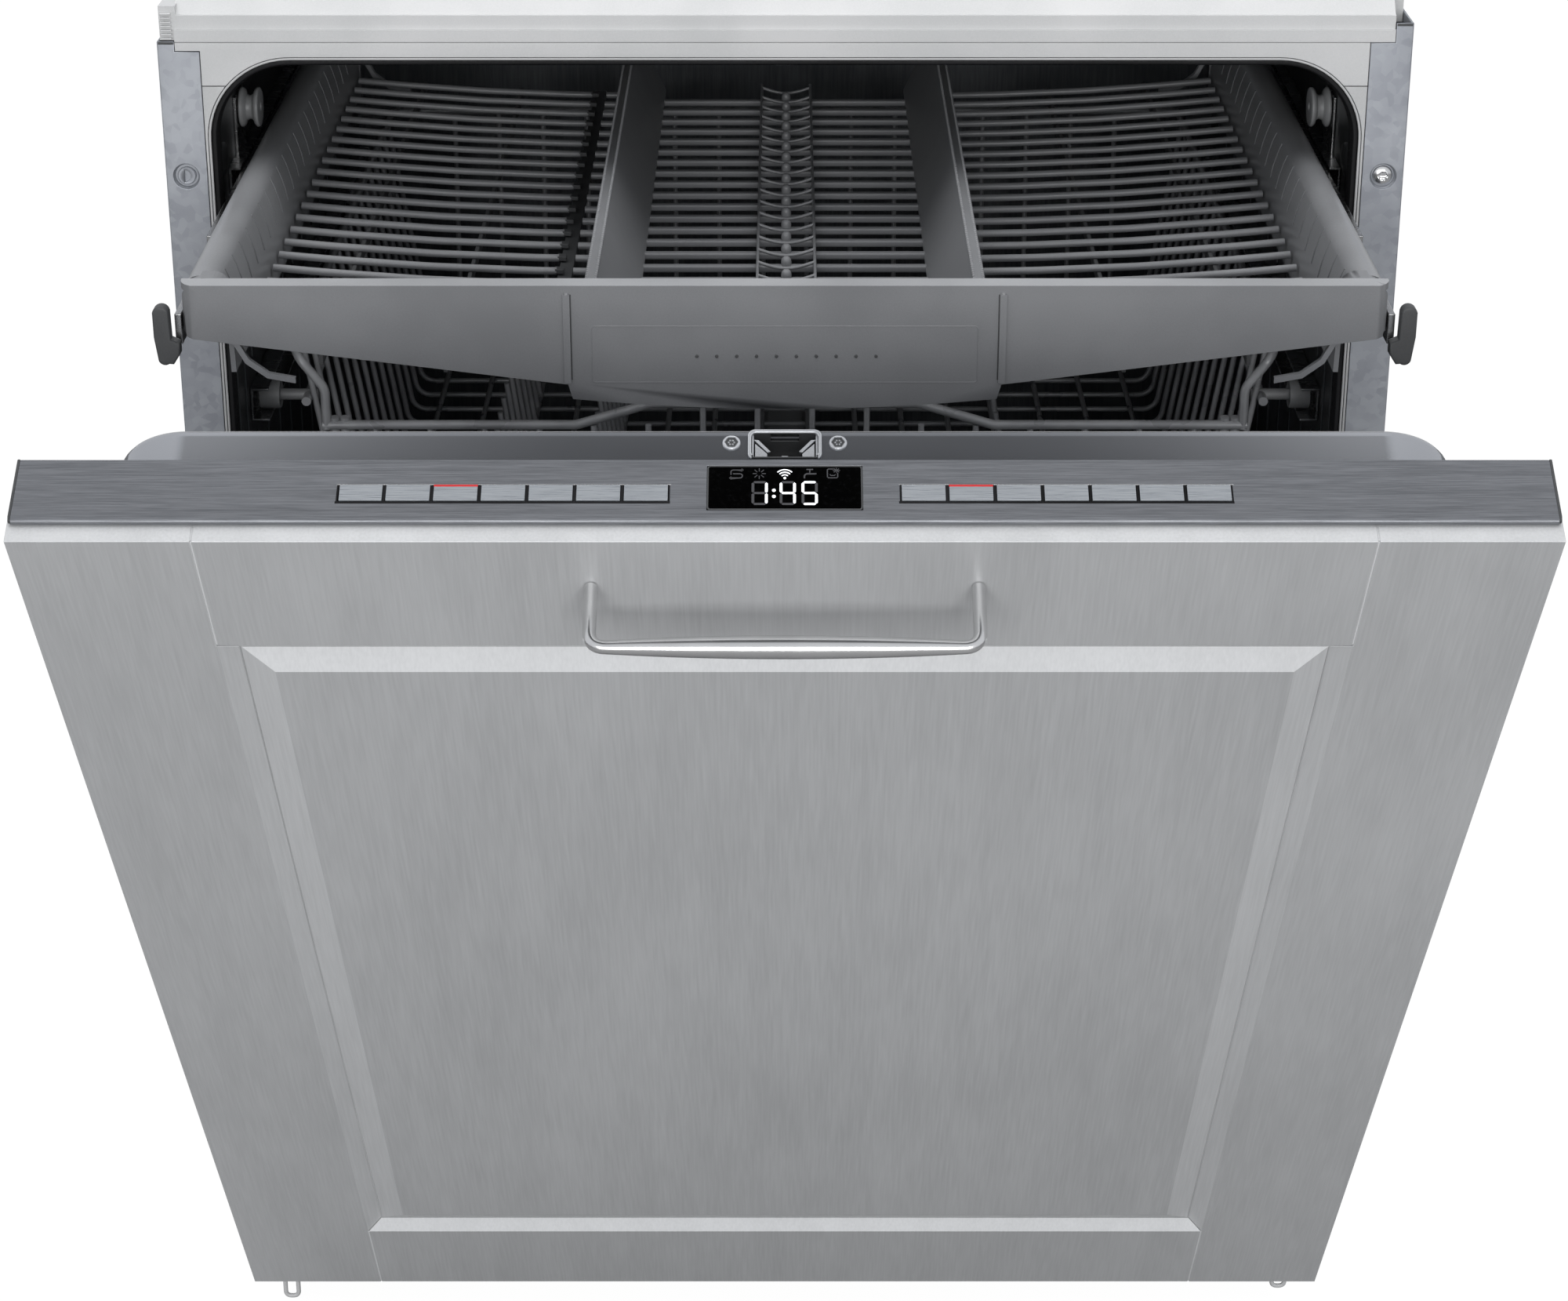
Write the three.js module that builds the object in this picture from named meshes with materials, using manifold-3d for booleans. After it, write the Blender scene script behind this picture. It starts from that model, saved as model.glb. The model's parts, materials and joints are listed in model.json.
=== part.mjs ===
// Built-in dishwasher with a furniture-style front panel, a pull-out top tray and two wire racks.
//
// Frame while building: millimetres, +Z up, the floor at z = 0, x = 0 on the middle plane and
// y = 0 on the front plane of the body; -y is towards the user. The whole group is shifted at
// the end, so that its origin lies on the floor in the middle of its bounding box.
//
// The pose built here has the door part open and the top tray pulled out.

import * as THREE from 'three';
import { mergeVertices } from 'three/addons/utils/BufferGeometryUtils.js';
import Module from 'manifold-3d';

const wasm = await Module();
wasm.setup();

// ---------------------------------------------------------------------------------------------
// Driving dimensions
// ---------------------------------------------------------------------------------------------

const seatGap = 0.3;          // between pieces that rest on each other

// Body
const bodyWidth = 598;
const bodyHeight = 815;       // to the top of the trim strip, with the feet screwed in
const bodyDepth = 550;
const sheetSteel = 1.2;
const pillarWidth = 20;       // front flange of each side panel
const rightPillarDrop = 9;    // below the top of the trim strip
const leftPillarDrop = 18;
const footRoom = 15;          // from the floor to the underside of the base
const toeRecess = 104;        // the base front stands this far behind the body front

const halfWidth = bodyWidth / 2;
const insideHalfWidth = halfWidth - sheetSteel - seatGap;

// Tub
const tubMargin = 22.6;       // from the body's side to the inside of the tub
const headroom = 27;          // from the inside of the tub to the top of the body
const backRoom = 34;          // behind the tub
const openingHalfWidth = halfWidth - tubMargin;
const openingTop = bodyHeight - headroom;
const openingBottom = 191;
const openingRadius = 40;
const openingLowerRadius = 24;
const tubDepth = bodyDepth - backRoom;
const tubWall = 1.2;
const tubFlange = 4.2;        // width of the flange round the opening
const basinDepth = 12;
const basinShelf = 46.4;      // tub floor beside the basin
const basinHalfWidth = openingHalfWidth - basinShelf;
const basinFront = 22;
const basinBack = tubDepth - 11;

// Door
const pivotY = -15.8;
const pivotZ = 179;
const doorRestDegrees = 31.5;
const panelFront = 39.5;      // the closed panel face stands this far in front of the body
const panelThickness = 18;
const panelBottom = 68;
const panelDrop = 15;         // from the top of the body to the panel's top edge
const panelTop = bodyHeight - panelDrop;
const stileWidth = 71.4;
const railTopHeight = 73;
const railBottomHeight = 71;
const stickingWidth = 7.5;
const stickingDepth = 5;
const fieldBevel = 13;
const fieldRise = 4.3;
const boardJoint = 0.5;

const hingePlate = 3.2;
const frameFront = panelThickness + seatGap;   // measured from the panel face
const frameDepth = 18.9;
const frameWall = 0.8;
const frameHalfWidth = insideHalfWidth - hingePlate - seatGap;
const frameBottom = pivotZ - 3;
const fasciaHeight = 50;
const fasciaRise = 3;         // the fascia stands above the panel edge
const fasciaInset = 1.7;
const fasciaHalfWidth = halfWidth - fasciaInset;
const fasciaNear = 7.2;       // where the lip over the panel edge begins
const fasciaFar = 37.2;
const fasciaLip = 2.5;

const linerSheet = 0.8;
const linerFront = fasciaFar + seatGap;
const panSideRoom = 5.9;      // between the inner door's pan and the tub
const panTopRoom = 4;
const panFootRoom = 5;
const panHalfWidth = openingHalfWidth - panSideRoom;
const panTop = openingTop - panTopRoom;
const panBottom = openingBottom + panFootRoom;
const panRadius = 32;
const panRise = 66.4;         // its inner face, measured from the panel face
const panDraft = 1.5;

// Keys and display on the fascia
const keysPerGroup = 7;
const keyGroupStart = 44.4;
const keyPitch = 18.36;
const keyGap = 1.1;
const keySlotNear = 16.1;
const keySlotFar = 24.6;
const keyPocketDepth = 11;
const keyHeight = 9.6;
const keyProud = 0.6;
const keyClearance = 0.25;
const displayHalfWidth = 29.8;
const displayNear = 13.1;
const displayFar = 33.6;
const displayThickness = 2;

// Latch and striker
const latchHalfWidth = 13.8;
const latchNear = 51.5;
const latchFar = 64.5;
const latchDepth = 17;
const bezelRim = 1.4;
const bezelProud = 0.9;
const strikerHalfWidth = 4.5;
const strikerLength = 7;
const strikerThickness = 3;
const strikerPassage = 1.2;   // room beside the striker where it enters the latch
const strikerNotch = 7;       // depth of that entry below the bezel

// Handle
const handleHalfSpan = 75.6;
const handleDrop = 30;        // below the panel's top edge
const handleHeight = panelTop - handleDrop;
const handleReach = 31;
const handleEndRadius = 2.7;
const handleMidRadius = 4.6;
const handleBend = 7;

// Hinge
const hingePinRadius = 2.5;
const hingeClearance = 0.3;
const hingeBossRadius = 5.2;
const hingePinLength = 8;     // into the door frame
const hingePlateHeight = 38;

// Top tray (third rack)
const trayHomeFront = 31.2;   // behind the body front when the door is closed
const trayPulledOut = 206;
const traySideRoom = 14;      // for the rails between the tray and the tub
const trayHeadroom = 53;
const trayBackRoom = 14.8;
const trayHalfWidth = openingHalfWidth - traySideRoom;
const trayBack = tubDepth - trayBackRoom;
const trayRim = openingTop - trayHeadroom;
const trayRimRadius = 8.5;
const trayWall = 2.5;
const trayRimWidth = 20;
const trayHollow = 43;        // from the rim down to the floor
const trayFloorTop = trayRim - trayHollow;
const traySideSlope = 48.4;   // from the outside to the edge of the flat floor
const trayFloorHalfWidth = trayHalfWidth - traySideSlope;
const traySkirtDrop = 23;
const trayCornerRadius = 10;
const trayRibHalf = 94.7;
const trayWingDropOuter = 24;
const trayWingDropInner = 45.7;
const trayPullDropSide = 52.5;
const trayPullDropMiddle = 57.1;
const traySlotPitch = 22.5;
const traySlotLength = 14;
const trayDividerLeft = -78.6;
const trayDividerRight = 81;
const trayDividerWidth = 15;
const trayDividerDrop = 7;

// Tray rails: a fixed channel, a middle bar and a bar on the tray
const railThickness = 3.5;
const railHeight = 14;
const railDrop = 22;          // below the tray's rim
const railMiddle = trayRim - railDrop;
const railFront = 42;
const railBack = tubDepth - 24;
const tabHeight = 28;
const tabDepth = 10;
const rollerRadius = 10;
const rollerWaist = 6;
const rollerLength = 10;
const rollerY = 78;
const rollerRise = 7.5;       // above the tray's rim
const rollerZ = trayRim + rollerRise;

// Wire racks
const wireRadius = 1.6;
const frameWireRadius = 2.5;
const frameSides = 5;
const wiresAcross = 6;
const wiresAlong = 4;
const rackBackRoom = 31;
const upperFront = 45;
const upperBack = tubDepth - rackBackRoom;
const upperSideRoom = 26.4;
const upperHalfWidth = openingHalfWidth - upperSideRoom;
const upperDrop = 112;        // below the tray's rim
const upperHeight = 146;
const upperFrontDrop = 40;    // the front rim is lower than the sides
const upperFrontStep = 12;    // and rises again in the middle
const stepInside = 68;
const stepOutside = 107;
const upperRim = trayRim - upperDrop;
const upperFloor = upperRim - upperHeight;
const lowerFront = 49;
const lowerBack = tubDepth - rackBackRoom + 4;
const lowerSideRoom = 29.4;
const lowerHalfWidth = openingHalfWidth - lowerSideRoom;
const lowerRise = 32;         // of the lower rack's floor above the tub floor
const lowerHeight = 124;
const lowerFloor = openingBottom + lowerRise;
const lowerRim = lowerFloor + lowerHeight;
const wheelRadius = 17;
const wheelWidth = 9;
const wheelShelf = 6.5;       // from the basin's edge to the wheel

// Water system
const sprayHubY = 265;
const sprayHubRadius = 14;
const lowerArmReach = basinHalfWidth - 2;
const upperArmReach = upperHalfWidth - 34;
const armThickness = 9;
const armBore = 5.3;
const filterX = 84;
const filterY = 170;
const filterRadius = 38;
const wellDepth = 74;
const wellFloor = 36;         // depth at which the filter stands
const motorRadius = 42;
const motorLength = 100;
const motorLeft = -160;
const outletRadius = 15;
const outletLength = 190;     // to the water duct behind the tub

// Screw recess in the front flange of each side panel
const pillarHoleInset = 9.8;
const pillarHoleDrop = 85;
const pillarHoleX = halfWidth - pillarHoleInset;
const pillarHoleZ = bodyHeight - pillarHoleDrop;
const pillarHoleRadius = 6.3;
const earDrop = 22.7;         // the front frame reaches over the left pillar above this

// Seal inside the opening
const sealWall = 1.2;
const sealFront = 3;
const sealBack = 12;

// Top cover and trim strip
const coverLongRibs = 5;
const coverCrossRibs = 3;
const trimInset = 8.5;
const trimHalfWidth = halfWidth - trimInset;
const trimHeight = 18.3;
const trimDepth = 24;

// Detergent dispenser on the inner door
const dispenserLeft = -95;
const dispenserRight = 70;
const dispenserDrop = 244;    // below the top of the pan
const dispenserHeight = 130;
const dispenserHead = panTop - dispenserDrop;
const dispenserFoot = dispenserHead - dispenserHeight;
const lidRight = 12;

// Feet
const footInset = 41;
const footX = halfWidth - footInset;
const footFrontY = 138;
const footBackY = bodyDepth - 35;
const footPadRadius = 19;
const footStemRadius = 7;
const footBossHeight = 80;

// ---------------------------------------------------------------------------------------------
// Materials
// ---------------------------------------------------------------------------------------------

const finish = (color, roughness, metalness) =>
  new THREE.MeshStandardMaterial({ color, roughness, metalness });

const galvanised = finish('#9a9da2', 0.45, 0.8);
const whitePlastic = finish('#dcdcdc', 0.5, 0);
const tubSteel = finish('#6f7173', 0.3, 0.9);
const brushedSteel = finish('#7d8083', 0.35, 0.9);
const panelSteel = finish('#a2a4a7', 0.4, 0.85);
const chrome = finish('#c9cbcd', 0.12, 1);
const trayGrey = finish('#58595b', 0.55, 0);
const wireGrey = finish('#8b8d8f', 0.45, 0);
const blackRubber = finish('#161617', 0.7, 0);
const blackGlass = finish('#050506', 0.08, 0);
const darkPlastic = finish('#3a3b3d', 0.6, 0);
const keySilver = finish('#b4b8bc', 0.35, 0.6);

// ---------------------------------------------------------------------------------------------
// Solids: every helper returns a manifold that can be joined and cut
// ---------------------------------------------------------------------------------------------

function solid(geometry) {
  const bare = geometry.index ? geometry.toNonIndexed() : geometry.clone();
  bare.deleteAttribute('normal');
  bare.deleteAttribute('uv');
  const merged = mergeVertices(bare, 1e-4);
  return new wasm.Manifold(new wasm.Mesh({
    numProp: 3,
    vertProperties: new Float32Array(merged.attributes.position.array),
    triVerts: new Uint32Array(merged.index.array),
  }));
}

function join(...solids) {
  return solids.flat().reduce((whole, piece) => whole.add(piece));
}

function cut(whole, ...tools) {
  return tools.flat().reduce((rest, tool) => rest.subtract(tool), whole);
}

function named(name, shape, material) {
  const { vertProperties, triVerts } = shape.getMesh();
  const geometry = new THREE.BufferGeometry();
  geometry.setAttribute('position', new THREE.BufferAttribute(vertProperties, 3));
  geometry.setIndex(new THREE.BufferAttribute(triVerts, 1));
  const mesh = new THREE.Mesh(geometry, material);
  mesh.name = name;
  return mesh;
}

function box(x0, x1, y0, y1, z0, z1) {
  const geometry = new THREE.BoxGeometry(x1 - x0, y1 - y0, z1 - z0);
  geometry.translate((x0 + x1) / 2, (y0 + y1) / 2, (z0 + z1) / 2);
  return solid(geometry);
}

const extrude = (shape, depth, curveSegments) =>
  new THREE.ExtrudeGeometry(shape, { depth, curveSegments, bevelEnabled: false });

const polygon = (points) => new THREE.Shape(points.map(([u, v]) => new THREE.Vector2(u, v)));

// A (y, z) outline carried along x.
function prismX(shape, x0, x1, curveSegments = 6) {
  const axes = new THREE.Matrix4().makeBasis(
    new THREE.Vector3(0, 1, 0), new THREE.Vector3(0, 0, 1), new THREE.Vector3(1, 0, 0));
  return solid(extrude(shape, x1 - x0, curveSegments).applyMatrix4(axes).translate(x0, 0, 0));
}

// An (x, z) outline carried along y.
function prismY(shape, y0, y1, curveSegments = 6) {
  return solid(extrude(shape, y1 - y0, curveSegments).rotateX(Math.PI / 2).translate(0, y1, 0));
}

// An (x, y) outline carried along z.
function prismZ(shape, z0, z1, curveSegments = 6) {
  return solid(extrude(shape, z1 - z0, curveSegments).translate(0, 0, z0));
}

function roundedRectangle(u0, u1, v0, v1, radius, lowerRadius = radius) {
  const shape = new THREE.Shape();
  shape.moveTo(u0 + lowerRadius, v0);
  shape.lineTo(u1 - lowerRadius, v0);
  shape.absarc(u1 - lowerRadius, v0 + lowerRadius, lowerRadius, -Math.PI / 2, 0);
  shape.lineTo(u1, v1 - radius);
  shape.absarc(u1 - radius, v1 - radius, radius, 0, Math.PI / 2);
  shape.lineTo(u0 + radius, v1);
  shape.absarc(u0 + radius, v1 - radius, radius, Math.PI / 2, Math.PI);
  shape.lineTo(u0, v0 + lowerRadius);
  shape.absarc(u0 + lowerRadius, v0 + lowerRadius, lowerRadius, Math.PI, 1.5 * Math.PI);
  return shape;
}

// A solid of revolution about a line parallel to an axis; the profile holds [radius, along].
function turned(profile, axis, at, sides = 20) {
  const geometry = new THREE.LatheGeometry(profile.map(([r, h]) => new THREE.Vector2(r, h)), sides);
  if (axis === 'x') geometry.rotateZ(-Math.PI / 2);
  if (axis === 'z') geometry.rotateX(Math.PI / 2);
  return solid(geometry.translate(...at));
}

const rod = (radius, length, axis, at, sides = 16) =>
  turned([[0, 0], [radius, 0], [radius, length], [0, length]], axis, at, sides);

// Joins rings of points, each ring with as many points, into one closed skin with flat ends.
function loft(rings) {
  const count = rings[0].length;
  const positions = rings.flat().flatMap((p) => [p.x, p.y, p.z]);
  const index = [];
  for (let ring = 0; ring < rings.length - 1; ring += 1) {
    for (let side = 0; side < count; side += 1) {
      const a = ring * count + side;
      const b = ring * count + (side + 1) % count;
      index.push(a, b, b + count, a, b + count, a + count);
    }
  }
  const last = (rings.length - 1) * count;
  for (let side = 1; side < count - 1; side += 1) {
    index.push(0, side + 1, side);
    index.push(last, last + side, last + side + 1);
  }
  const geometry = new THREE.BufferGeometry();
  geometry.setAttribute('position', new THREE.Float32BufferAttribute(positions, 3));
  geometry.setIndex(index);
  return solid(geometry);
}

// The outline of a rounded rectangle in x and z as a ring at depth y.
function ringXZ(halfWidth, bottom, top, radius, y, curveSegments = 6) {
  const outline = roundedRectangle(-halfWidth, halfWidth, bottom, top, radius);
  const points = outline.extractPoints(curveSegments).shape;
  const unique = points.filter((p, i) => i === 0 || p.distanceTo(points[i - 1]) > 1e-6);
  if (unique[0].distanceTo(unique.at(-1)) < 1e-6) unique.pop();
  return unique.map((p) => new THREE.Vector3(p.x, y, p.y)).reverse();
}

// A polyline path whose points are met exactly by the steps of an extrusion.
class Polyline extends THREE.Curve {
  constructor(points) {
    super();
    this.points = points;
  }

  getPoint(t, target = new THREE.Vector3()) {
    const place = t * (this.points.length - 1);
    const from = Math.min(Math.floor(place), this.points.length - 2);
    return target.lerpVectors(this.points[from], this.points[from + 1], place - from);
  }

  getPointAt(u, target) {
    return this.getPoint(u, target);
  }

  getTangentAt(u, target = new THREE.Vector3()) {
    const place = Math.round(u * (this.points.length - 1));
    const before = this.points[Math.max(place - 1, 0)];
    const after = this.points[Math.min(place + 1, this.points.length - 1)];
    return target.subVectors(after, before).normalize();
  }
}

// Rounds each inner corner of a polyline with a short arc of the given number of steps.
function bent(points, radius, steps = 3) {
  const path = points.map((p) => new THREE.Vector3(...p));
  const result = [path[0]];
  for (let i = 1; i < path.length - 1; i += 1) {
    const corner = path[i];
    const start = corner.clone().add(path[i - 1].clone().sub(corner).setLength(radius));
    const end = corner.clone().add(path[i + 1].clone().sub(corner).setLength(radius));
    const curve = new THREE.QuadraticBezierCurve3(start, corner, end);
    result.push(...curve.getPoints(steps));
  }
  result.push(path.at(-1));
  return result;
}

function wire(points, radius = wireRadius, sides = 4) {
  const section = new THREE.Shape();
  for (let side = 0; side < sides; side += 1) {
    const turn = (side / sides) * 2 * Math.PI;
    const place = [radius * Math.cos(turn), radius * Math.sin(turn)];
    if (side === 0) section.moveTo(...place);
    else section.lineTo(...place);
  }
  const path = points[0].isVector3 ? points : points.map((p) => new THREE.Vector3(...p));
  return solid(new THREE.ExtrudeGeometry(section, {
    steps: path.length - 1,
    extrudePath: new Polyline(path),
    bevelEnabled: false,
  }));
}

const mirrored = (shape) => shape.mirror([1, 0, 0]);

// Door pieces are drawn in the closed door: e runs back from the panel face.
const fromPanel = (e) => e - panelFront;

// ---------------------------------------------------------------------------------------------
// Body
// ---------------------------------------------------------------------------------------------

const pillarInside = halfWidth - pillarWidth;
const trimFoot = bodyHeight - trimHeight;
const frameEarFoot = bodyHeight - earDrop;
const hingeTop = pivotZ + hingePlateHeight;
const hingeFoot = pivotZ - hingeBossRadius;
const baseTop = openingBottom - basinDepth - tubWall - seatGap;

function opening(offset) {
  return roundedRectangle(
    -openingHalfWidth - offset, openingHalfWidth + offset,
    openingBottom - offset, openingTop + offset,
    openingRadius + offset, openingLowerRadius + offset);
}

function sidePanel(top) {
  const side = polygon([
    [0, hingeFoot], [toeRecess, hingeFoot], [toeRecess, footRoom + 2],
    [bodyDepth, footRoom + 2], [bodyDepth, top], [0, top],
  ]);
  const sheet = prismX(side, halfWidth - sheetSteel, halfWidth);
  const pillar = box(pillarInside, halfWidth - 0.5, 0, sheetSteel, hingeTop + 1, top);
  const back = box(pillarInside, halfWidth - 0.5, bodyDepth - sheetSteel, bodyDepth,
    footRoom + 2, top);
  const trimRoom = box(pillarInside - 1, trimHalfWidth + seatGap, -1, sheetSteel + 1,
    trimFoot - seatGap, top + 1);
  const screwHole = rod(pillarHoleRadius, 4, 'y', [pillarHoleX, -1, pillarHoleZ], 14);
  const cup = cut(
    rod(pillarHoleRadius + 1.2, 3.2, 'y', [pillarHoleX, sheetSteel - 0.2, pillarHoleZ], 14),
    rod(pillarHoleRadius, 2.2, 'y', [pillarHoleX, 0, pillarHoleZ], 14));
  return join(cut(join(sheet, pillar, back), trimRoom, screwHole), cup);
}

function leftSidePanel() {
  const notch = box(-trimHalfWidth - seatGap, -pillarInside + 1, -1, sheetSteel + 1,
    frameEarFoot - seatGap, trimFoot + 20);
  return cut(mirrored(sidePanel(bodyHeight - leftPillarDrop)), notch);
}

function tub() {
  const shell = prismY(opening(tubWall), sheetSteel + seatGap, tubDepth + tubWall);
  const flange = prismY(opening(tubFlange), sheetSteel + seatGap, 2 * sheetSteel + seatGap);
  const basin = box(-basinHalfWidth - tubWall, basinHalfWidth + tubWall,
    basinFront - tubWall, basinBack + tubWall,
    openingBottom - basinDepth - tubWall, openingBottom + 1);
  const room = prismY(opening(0), 0, tubDepth);
  const basinRoom = box(-basinHalfWidth, basinHalfWidth, basinFront, basinBack,
    openingBottom - basinDepth, openingBottom + 2);
  const below = openingBottom - basinDepth - 10;
  const filterHole = rod(filterRadius + seatGap, 20, 'z', [filterX, filterY, below], 16);
  const hubHole = rod(sprayHubRadius + seatGap, 20, 'z', [0, sprayHubY, below], 12);
  return cut(join(shell, flange, basin), room, basinRoom, filterHole, hubHole);
}

function tubSeal() {
  const inside = roundedRectangle(-openingHalfWidth + sealWall, openingHalfWidth - sealWall,
    openingBottom + 2, panTop + 0.6, openingRadius - 3, openingLowerRadius - 2);
  const latchWay = latchHalfWidth + bezelRim + 2;
  return cut(prismY(opening(-seatGap), sealFront, sealBack),
    prismY(inside, sealFront - 1, sealBack + 1),
    box(-latchWay, latchWay, sealFront - 1, sealBack + 1, panTop - 2, openingTop - 1.5));
}

function frontFrame() {
  const band = box(-pillarInside + seatGap, pillarInside - seatGap, 0, sheetSteel,
    openingBottom + 4, trimFoot - seatGap);
  const ear = box(-trimHalfWidth, -pillarInside + 1, 0, sheetSteel,
    frameEarFoot, trimFoot - seatGap);
  return cut(join(band, ear), prismY(opening(0), -1, sheetSteel + 1));
}

// The cover: a stepped strip across the front and a ribbed plate behind it.
function topCover() {
  const front = trimDepth - 2;
  const back = bodyDepth - sheetSteel - seatGap;
  const plateFoot = bodyHeight - 14;
  const plate = box(-insideHalfWidth, insideHalfWidth, front, back, plateFoot, plateFoot + 2.5);
  const border = cut(
    box(-insideHalfWidth, insideHalfWidth, front, back, plateFoot, bodyHeight - 1),
    box(-insideHalfWidth + 3, insideHalfWidth - 3, front + 3, back - 3, plateFoot - 1, bodyHeight));
  const ribs = [];
  for (let rib = 1; rib < coverLongRibs; rib += 1) {
    const x = -insideHalfWidth + (rib / coverLongRibs) * 2 * insideHalfWidth;
    ribs.push(box(x - 1.2, x + 1.2, front + 1, back - 1, plateFoot + 1, bodyHeight - 3));
  }
  for (let rib = 1; rib < coverCrossRibs; rib += 1) {
    const y = front + (rib / coverCrossRibs) * (back - front);
    ribs.push(box(-insideHalfWidth + 1, insideHalfWidth - 1, y - 1.2, y + 1.2,
      plateFoot + 1, bodyHeight - 3));
  }
  const endBlock = box(-insideHalfWidth, -trimHalfWidth + 1, sheetSteel + seatGap, front + 2,
    bodyHeight - leftPillarDrop + seatGap, bodyHeight - 1);
  const strip = prismX(polygon([
    [0, trimFoot], [0, trimFoot + 6], [1.6, trimFoot + 6], [1.6, trimFoot + 12.7],
    [3.2, trimFoot + 12.7], [8.5, bodyHeight], [trimDepth, bodyHeight], [trimDepth, trimFoot],
  ]), -trimHalfWidth, trimHalfWidth);
  return join(plate, border, ribs, endBlock, strip);
}

const footPlaces = [
  ['front_left', -footX, footFrontY], ['front_right', footX, footFrontY],
  ['back_left', -footX, footBackY], ['back_right', footX, footBackY],
];

function baseTray() {
  const front = toeRecess + seatGap;
  const back = bodyDepth - sheetSteel - seatGap;
  const wall = 6;
  const tray = cut(
    box(-insideHalfWidth, insideHalfWidth, front, back, footRoom, baseTop),
    box(-insideHalfWidth + wall, insideHalfWidth - wall, front + wall, back - wall,
      footRoom + 5, baseTop + 1));
  const bosses = footPlaces.map(([, x, y]) =>
    rod(footStemRadius + 5, footBossHeight, 'z', [x, y, footRoom], 10));
  const holes = footPlaces.map(([, x, y]) =>
    rod(footStemRadius + 2 * seatGap, footBossHeight + 20, 'z', [x, y, footRoom - 10], 10));
  return cut(join(tray, bosses), holes);
}

// The plinth plate has two wire loops under it; the right one is the shorter.
function toePlate() {
  const back = toeRecess;
  const plate = box(-insideHalfWidth, insideHalfWidth, back - 2.5, back,
    footRoom + 4, hingeFoot - 22);
  const loopX = insideHalfWidth - 4.5;
  const loops = [[-loopX, 2.5], [loopX, 9.5]].map(([x, foot]) => wire(bent([
    [x - 3.8, back - 1.6, footRoom + 20], [x - 3.8, back - 1.6, foot],
    [x + 3.8, back - 1.6, foot], [x + 3.8, back - 1.6, footRoom + 20],
  ], 3, 2), 1.3));
  return join(plate, loops);
}

function foot(x, y) {
  return turned([
    [0, 0], [footPadRadius, 0], [footPadRadius, 5], [footStemRadius + 2, 9],
    [footStemRadius, 12], [footStemRadius, footRoom + footBossHeight - 8],
    [0, footRoom + footBossHeight - 8],
  ], 'z', [x, y, 0], 10);
}

function hingeBracket() {
  const plate = polygon([
    [pivotY, hingeFoot], [toeRecess - 2.5 - seatGap, hingeFoot],
    [toeRecess - 2.5 - seatGap, pivotZ + 26], [34, hingeTop],
    [pivotY + 8, hingeTop], [pivotY - hingeBossRadius, pivotZ + 4],
    [pivotY - hingeBossRadius, pivotZ],
  ]);
  const outside = insideHalfWidth;
  const inside = outside - hingePlate;
  return join(
    prismX(plate, inside, outside),
    rod(hingeBossRadius, hingePlate, 'x', [inside, pivotY, pivotZ], 12),
    rod(hingePinRadius, hingePlate + hingePinLength, 'x',
      [inside - hingePinLength, pivotY, pivotZ], 12));
}

function doorStriker() {
  const y0 = fromPanel(latchNear) + 3;
  const y1 = fromPanel(latchFar) - 3;
  const top = openingTop - seatGap;
  const strip = box(-strikerHalfWidth, strikerHalfWidth, y0, y1, top - 1.5, top);
  const tongue = box(-strikerHalfWidth, strikerHalfWidth, (y0 + y1 - strikerThickness) / 2,
    (y0 + y1 + strikerThickness) / 2, top - strikerLength, top);
  const foot = box(-strikerHalfWidth - 6, strikerHalfWidth + 6, y1 - 1, y1 + 12, top - 1.5, top);
  return join(strip, tongue, foot);
}

// ---------------------------------------------------------------------------------------------
// Water system
// ---------------------------------------------------------------------------------------------

const basinFloor = openingBottom - basinDepth;
const lowerArmFoot = openingBottom + 7;
const upperArmFoot = upperFloor - 33;

function sumpAndPump() {
  const top = basinFloor - tubWall - seatGap;
  const foot = top - wellDepth;
  const motorZ = foot + motorRadius - 30;
  const well = rod(filterRadius + 8, wellDepth, 'z', [filterX, filterY, foot], 16);
  const wellRoom = rod(filterRadius + seatGap, wellFloor + 20, 'z',
    [filterX, filterY, top - wellFloor], 16);
  const post = rod(sprayHubRadius, lowerArmFoot - seatGap - motorZ, 'z',
    [0, sprayHubY, motorZ], 12);
  const shaft = rod(armBore - seatGap, armThickness + 4, 'z', [0, sprayHubY, lowerArmFoot - 2], 12);
  const cap = turned([[0, 0], [9, 0], [9, 2], [6, 4], [0, 4]], 'z',
    [0, sprayHubY, lowerArmFoot + armThickness + seatGap], 12);
  const housing = prismZ(roundedRectangle(-70, filterX + 48, filterY - 46, sprayHubY + 65, 30),
    foot, top - wellFloor, 3);
  const motor = turned([
    [0, 0], [motorRadius - 4, 0], [motorRadius, 6], [motorRadius, motorLength - 8],
    [motorRadius - 8, motorLength], [0, motorLength],
  ], 'x', [motorLeft, sprayHubY - 10, motorZ], 12);
  const outlet = rod(outletRadius, outletLength, 'y', [0, sprayHubY, motorZ + 6], 10);
  return join(cut(join(well, housing, post, motor, outlet), wellRoom), shaft, cap);
}

function filterCylinder() {
  const foot = basinFloor - tubWall - wellFloor;
  const collar = basinFloor + seatGap - foot;
  const cup = turned([
    [0, 0], [filterRadius - 2, 0], [filterRadius - 1, 3], [filterRadius - 1, collar],
    [filterRadius + 5, collar], [filterRadius + 4, collar + 4 - seatGap],
    [filterRadius - 8, collar + 4 - seatGap], [filterRadius - 10, 12], [0, 12],
  ], 'z', [filterX, filterY, foot], 16);
  const grip = box(filterX - filterRadius + 3, filterX + filterRadius - 3,
    filterY - 2, filterY + 2, basinFloor - 16, basinFloor + 4);
  return join(cup, grip);
}

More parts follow.
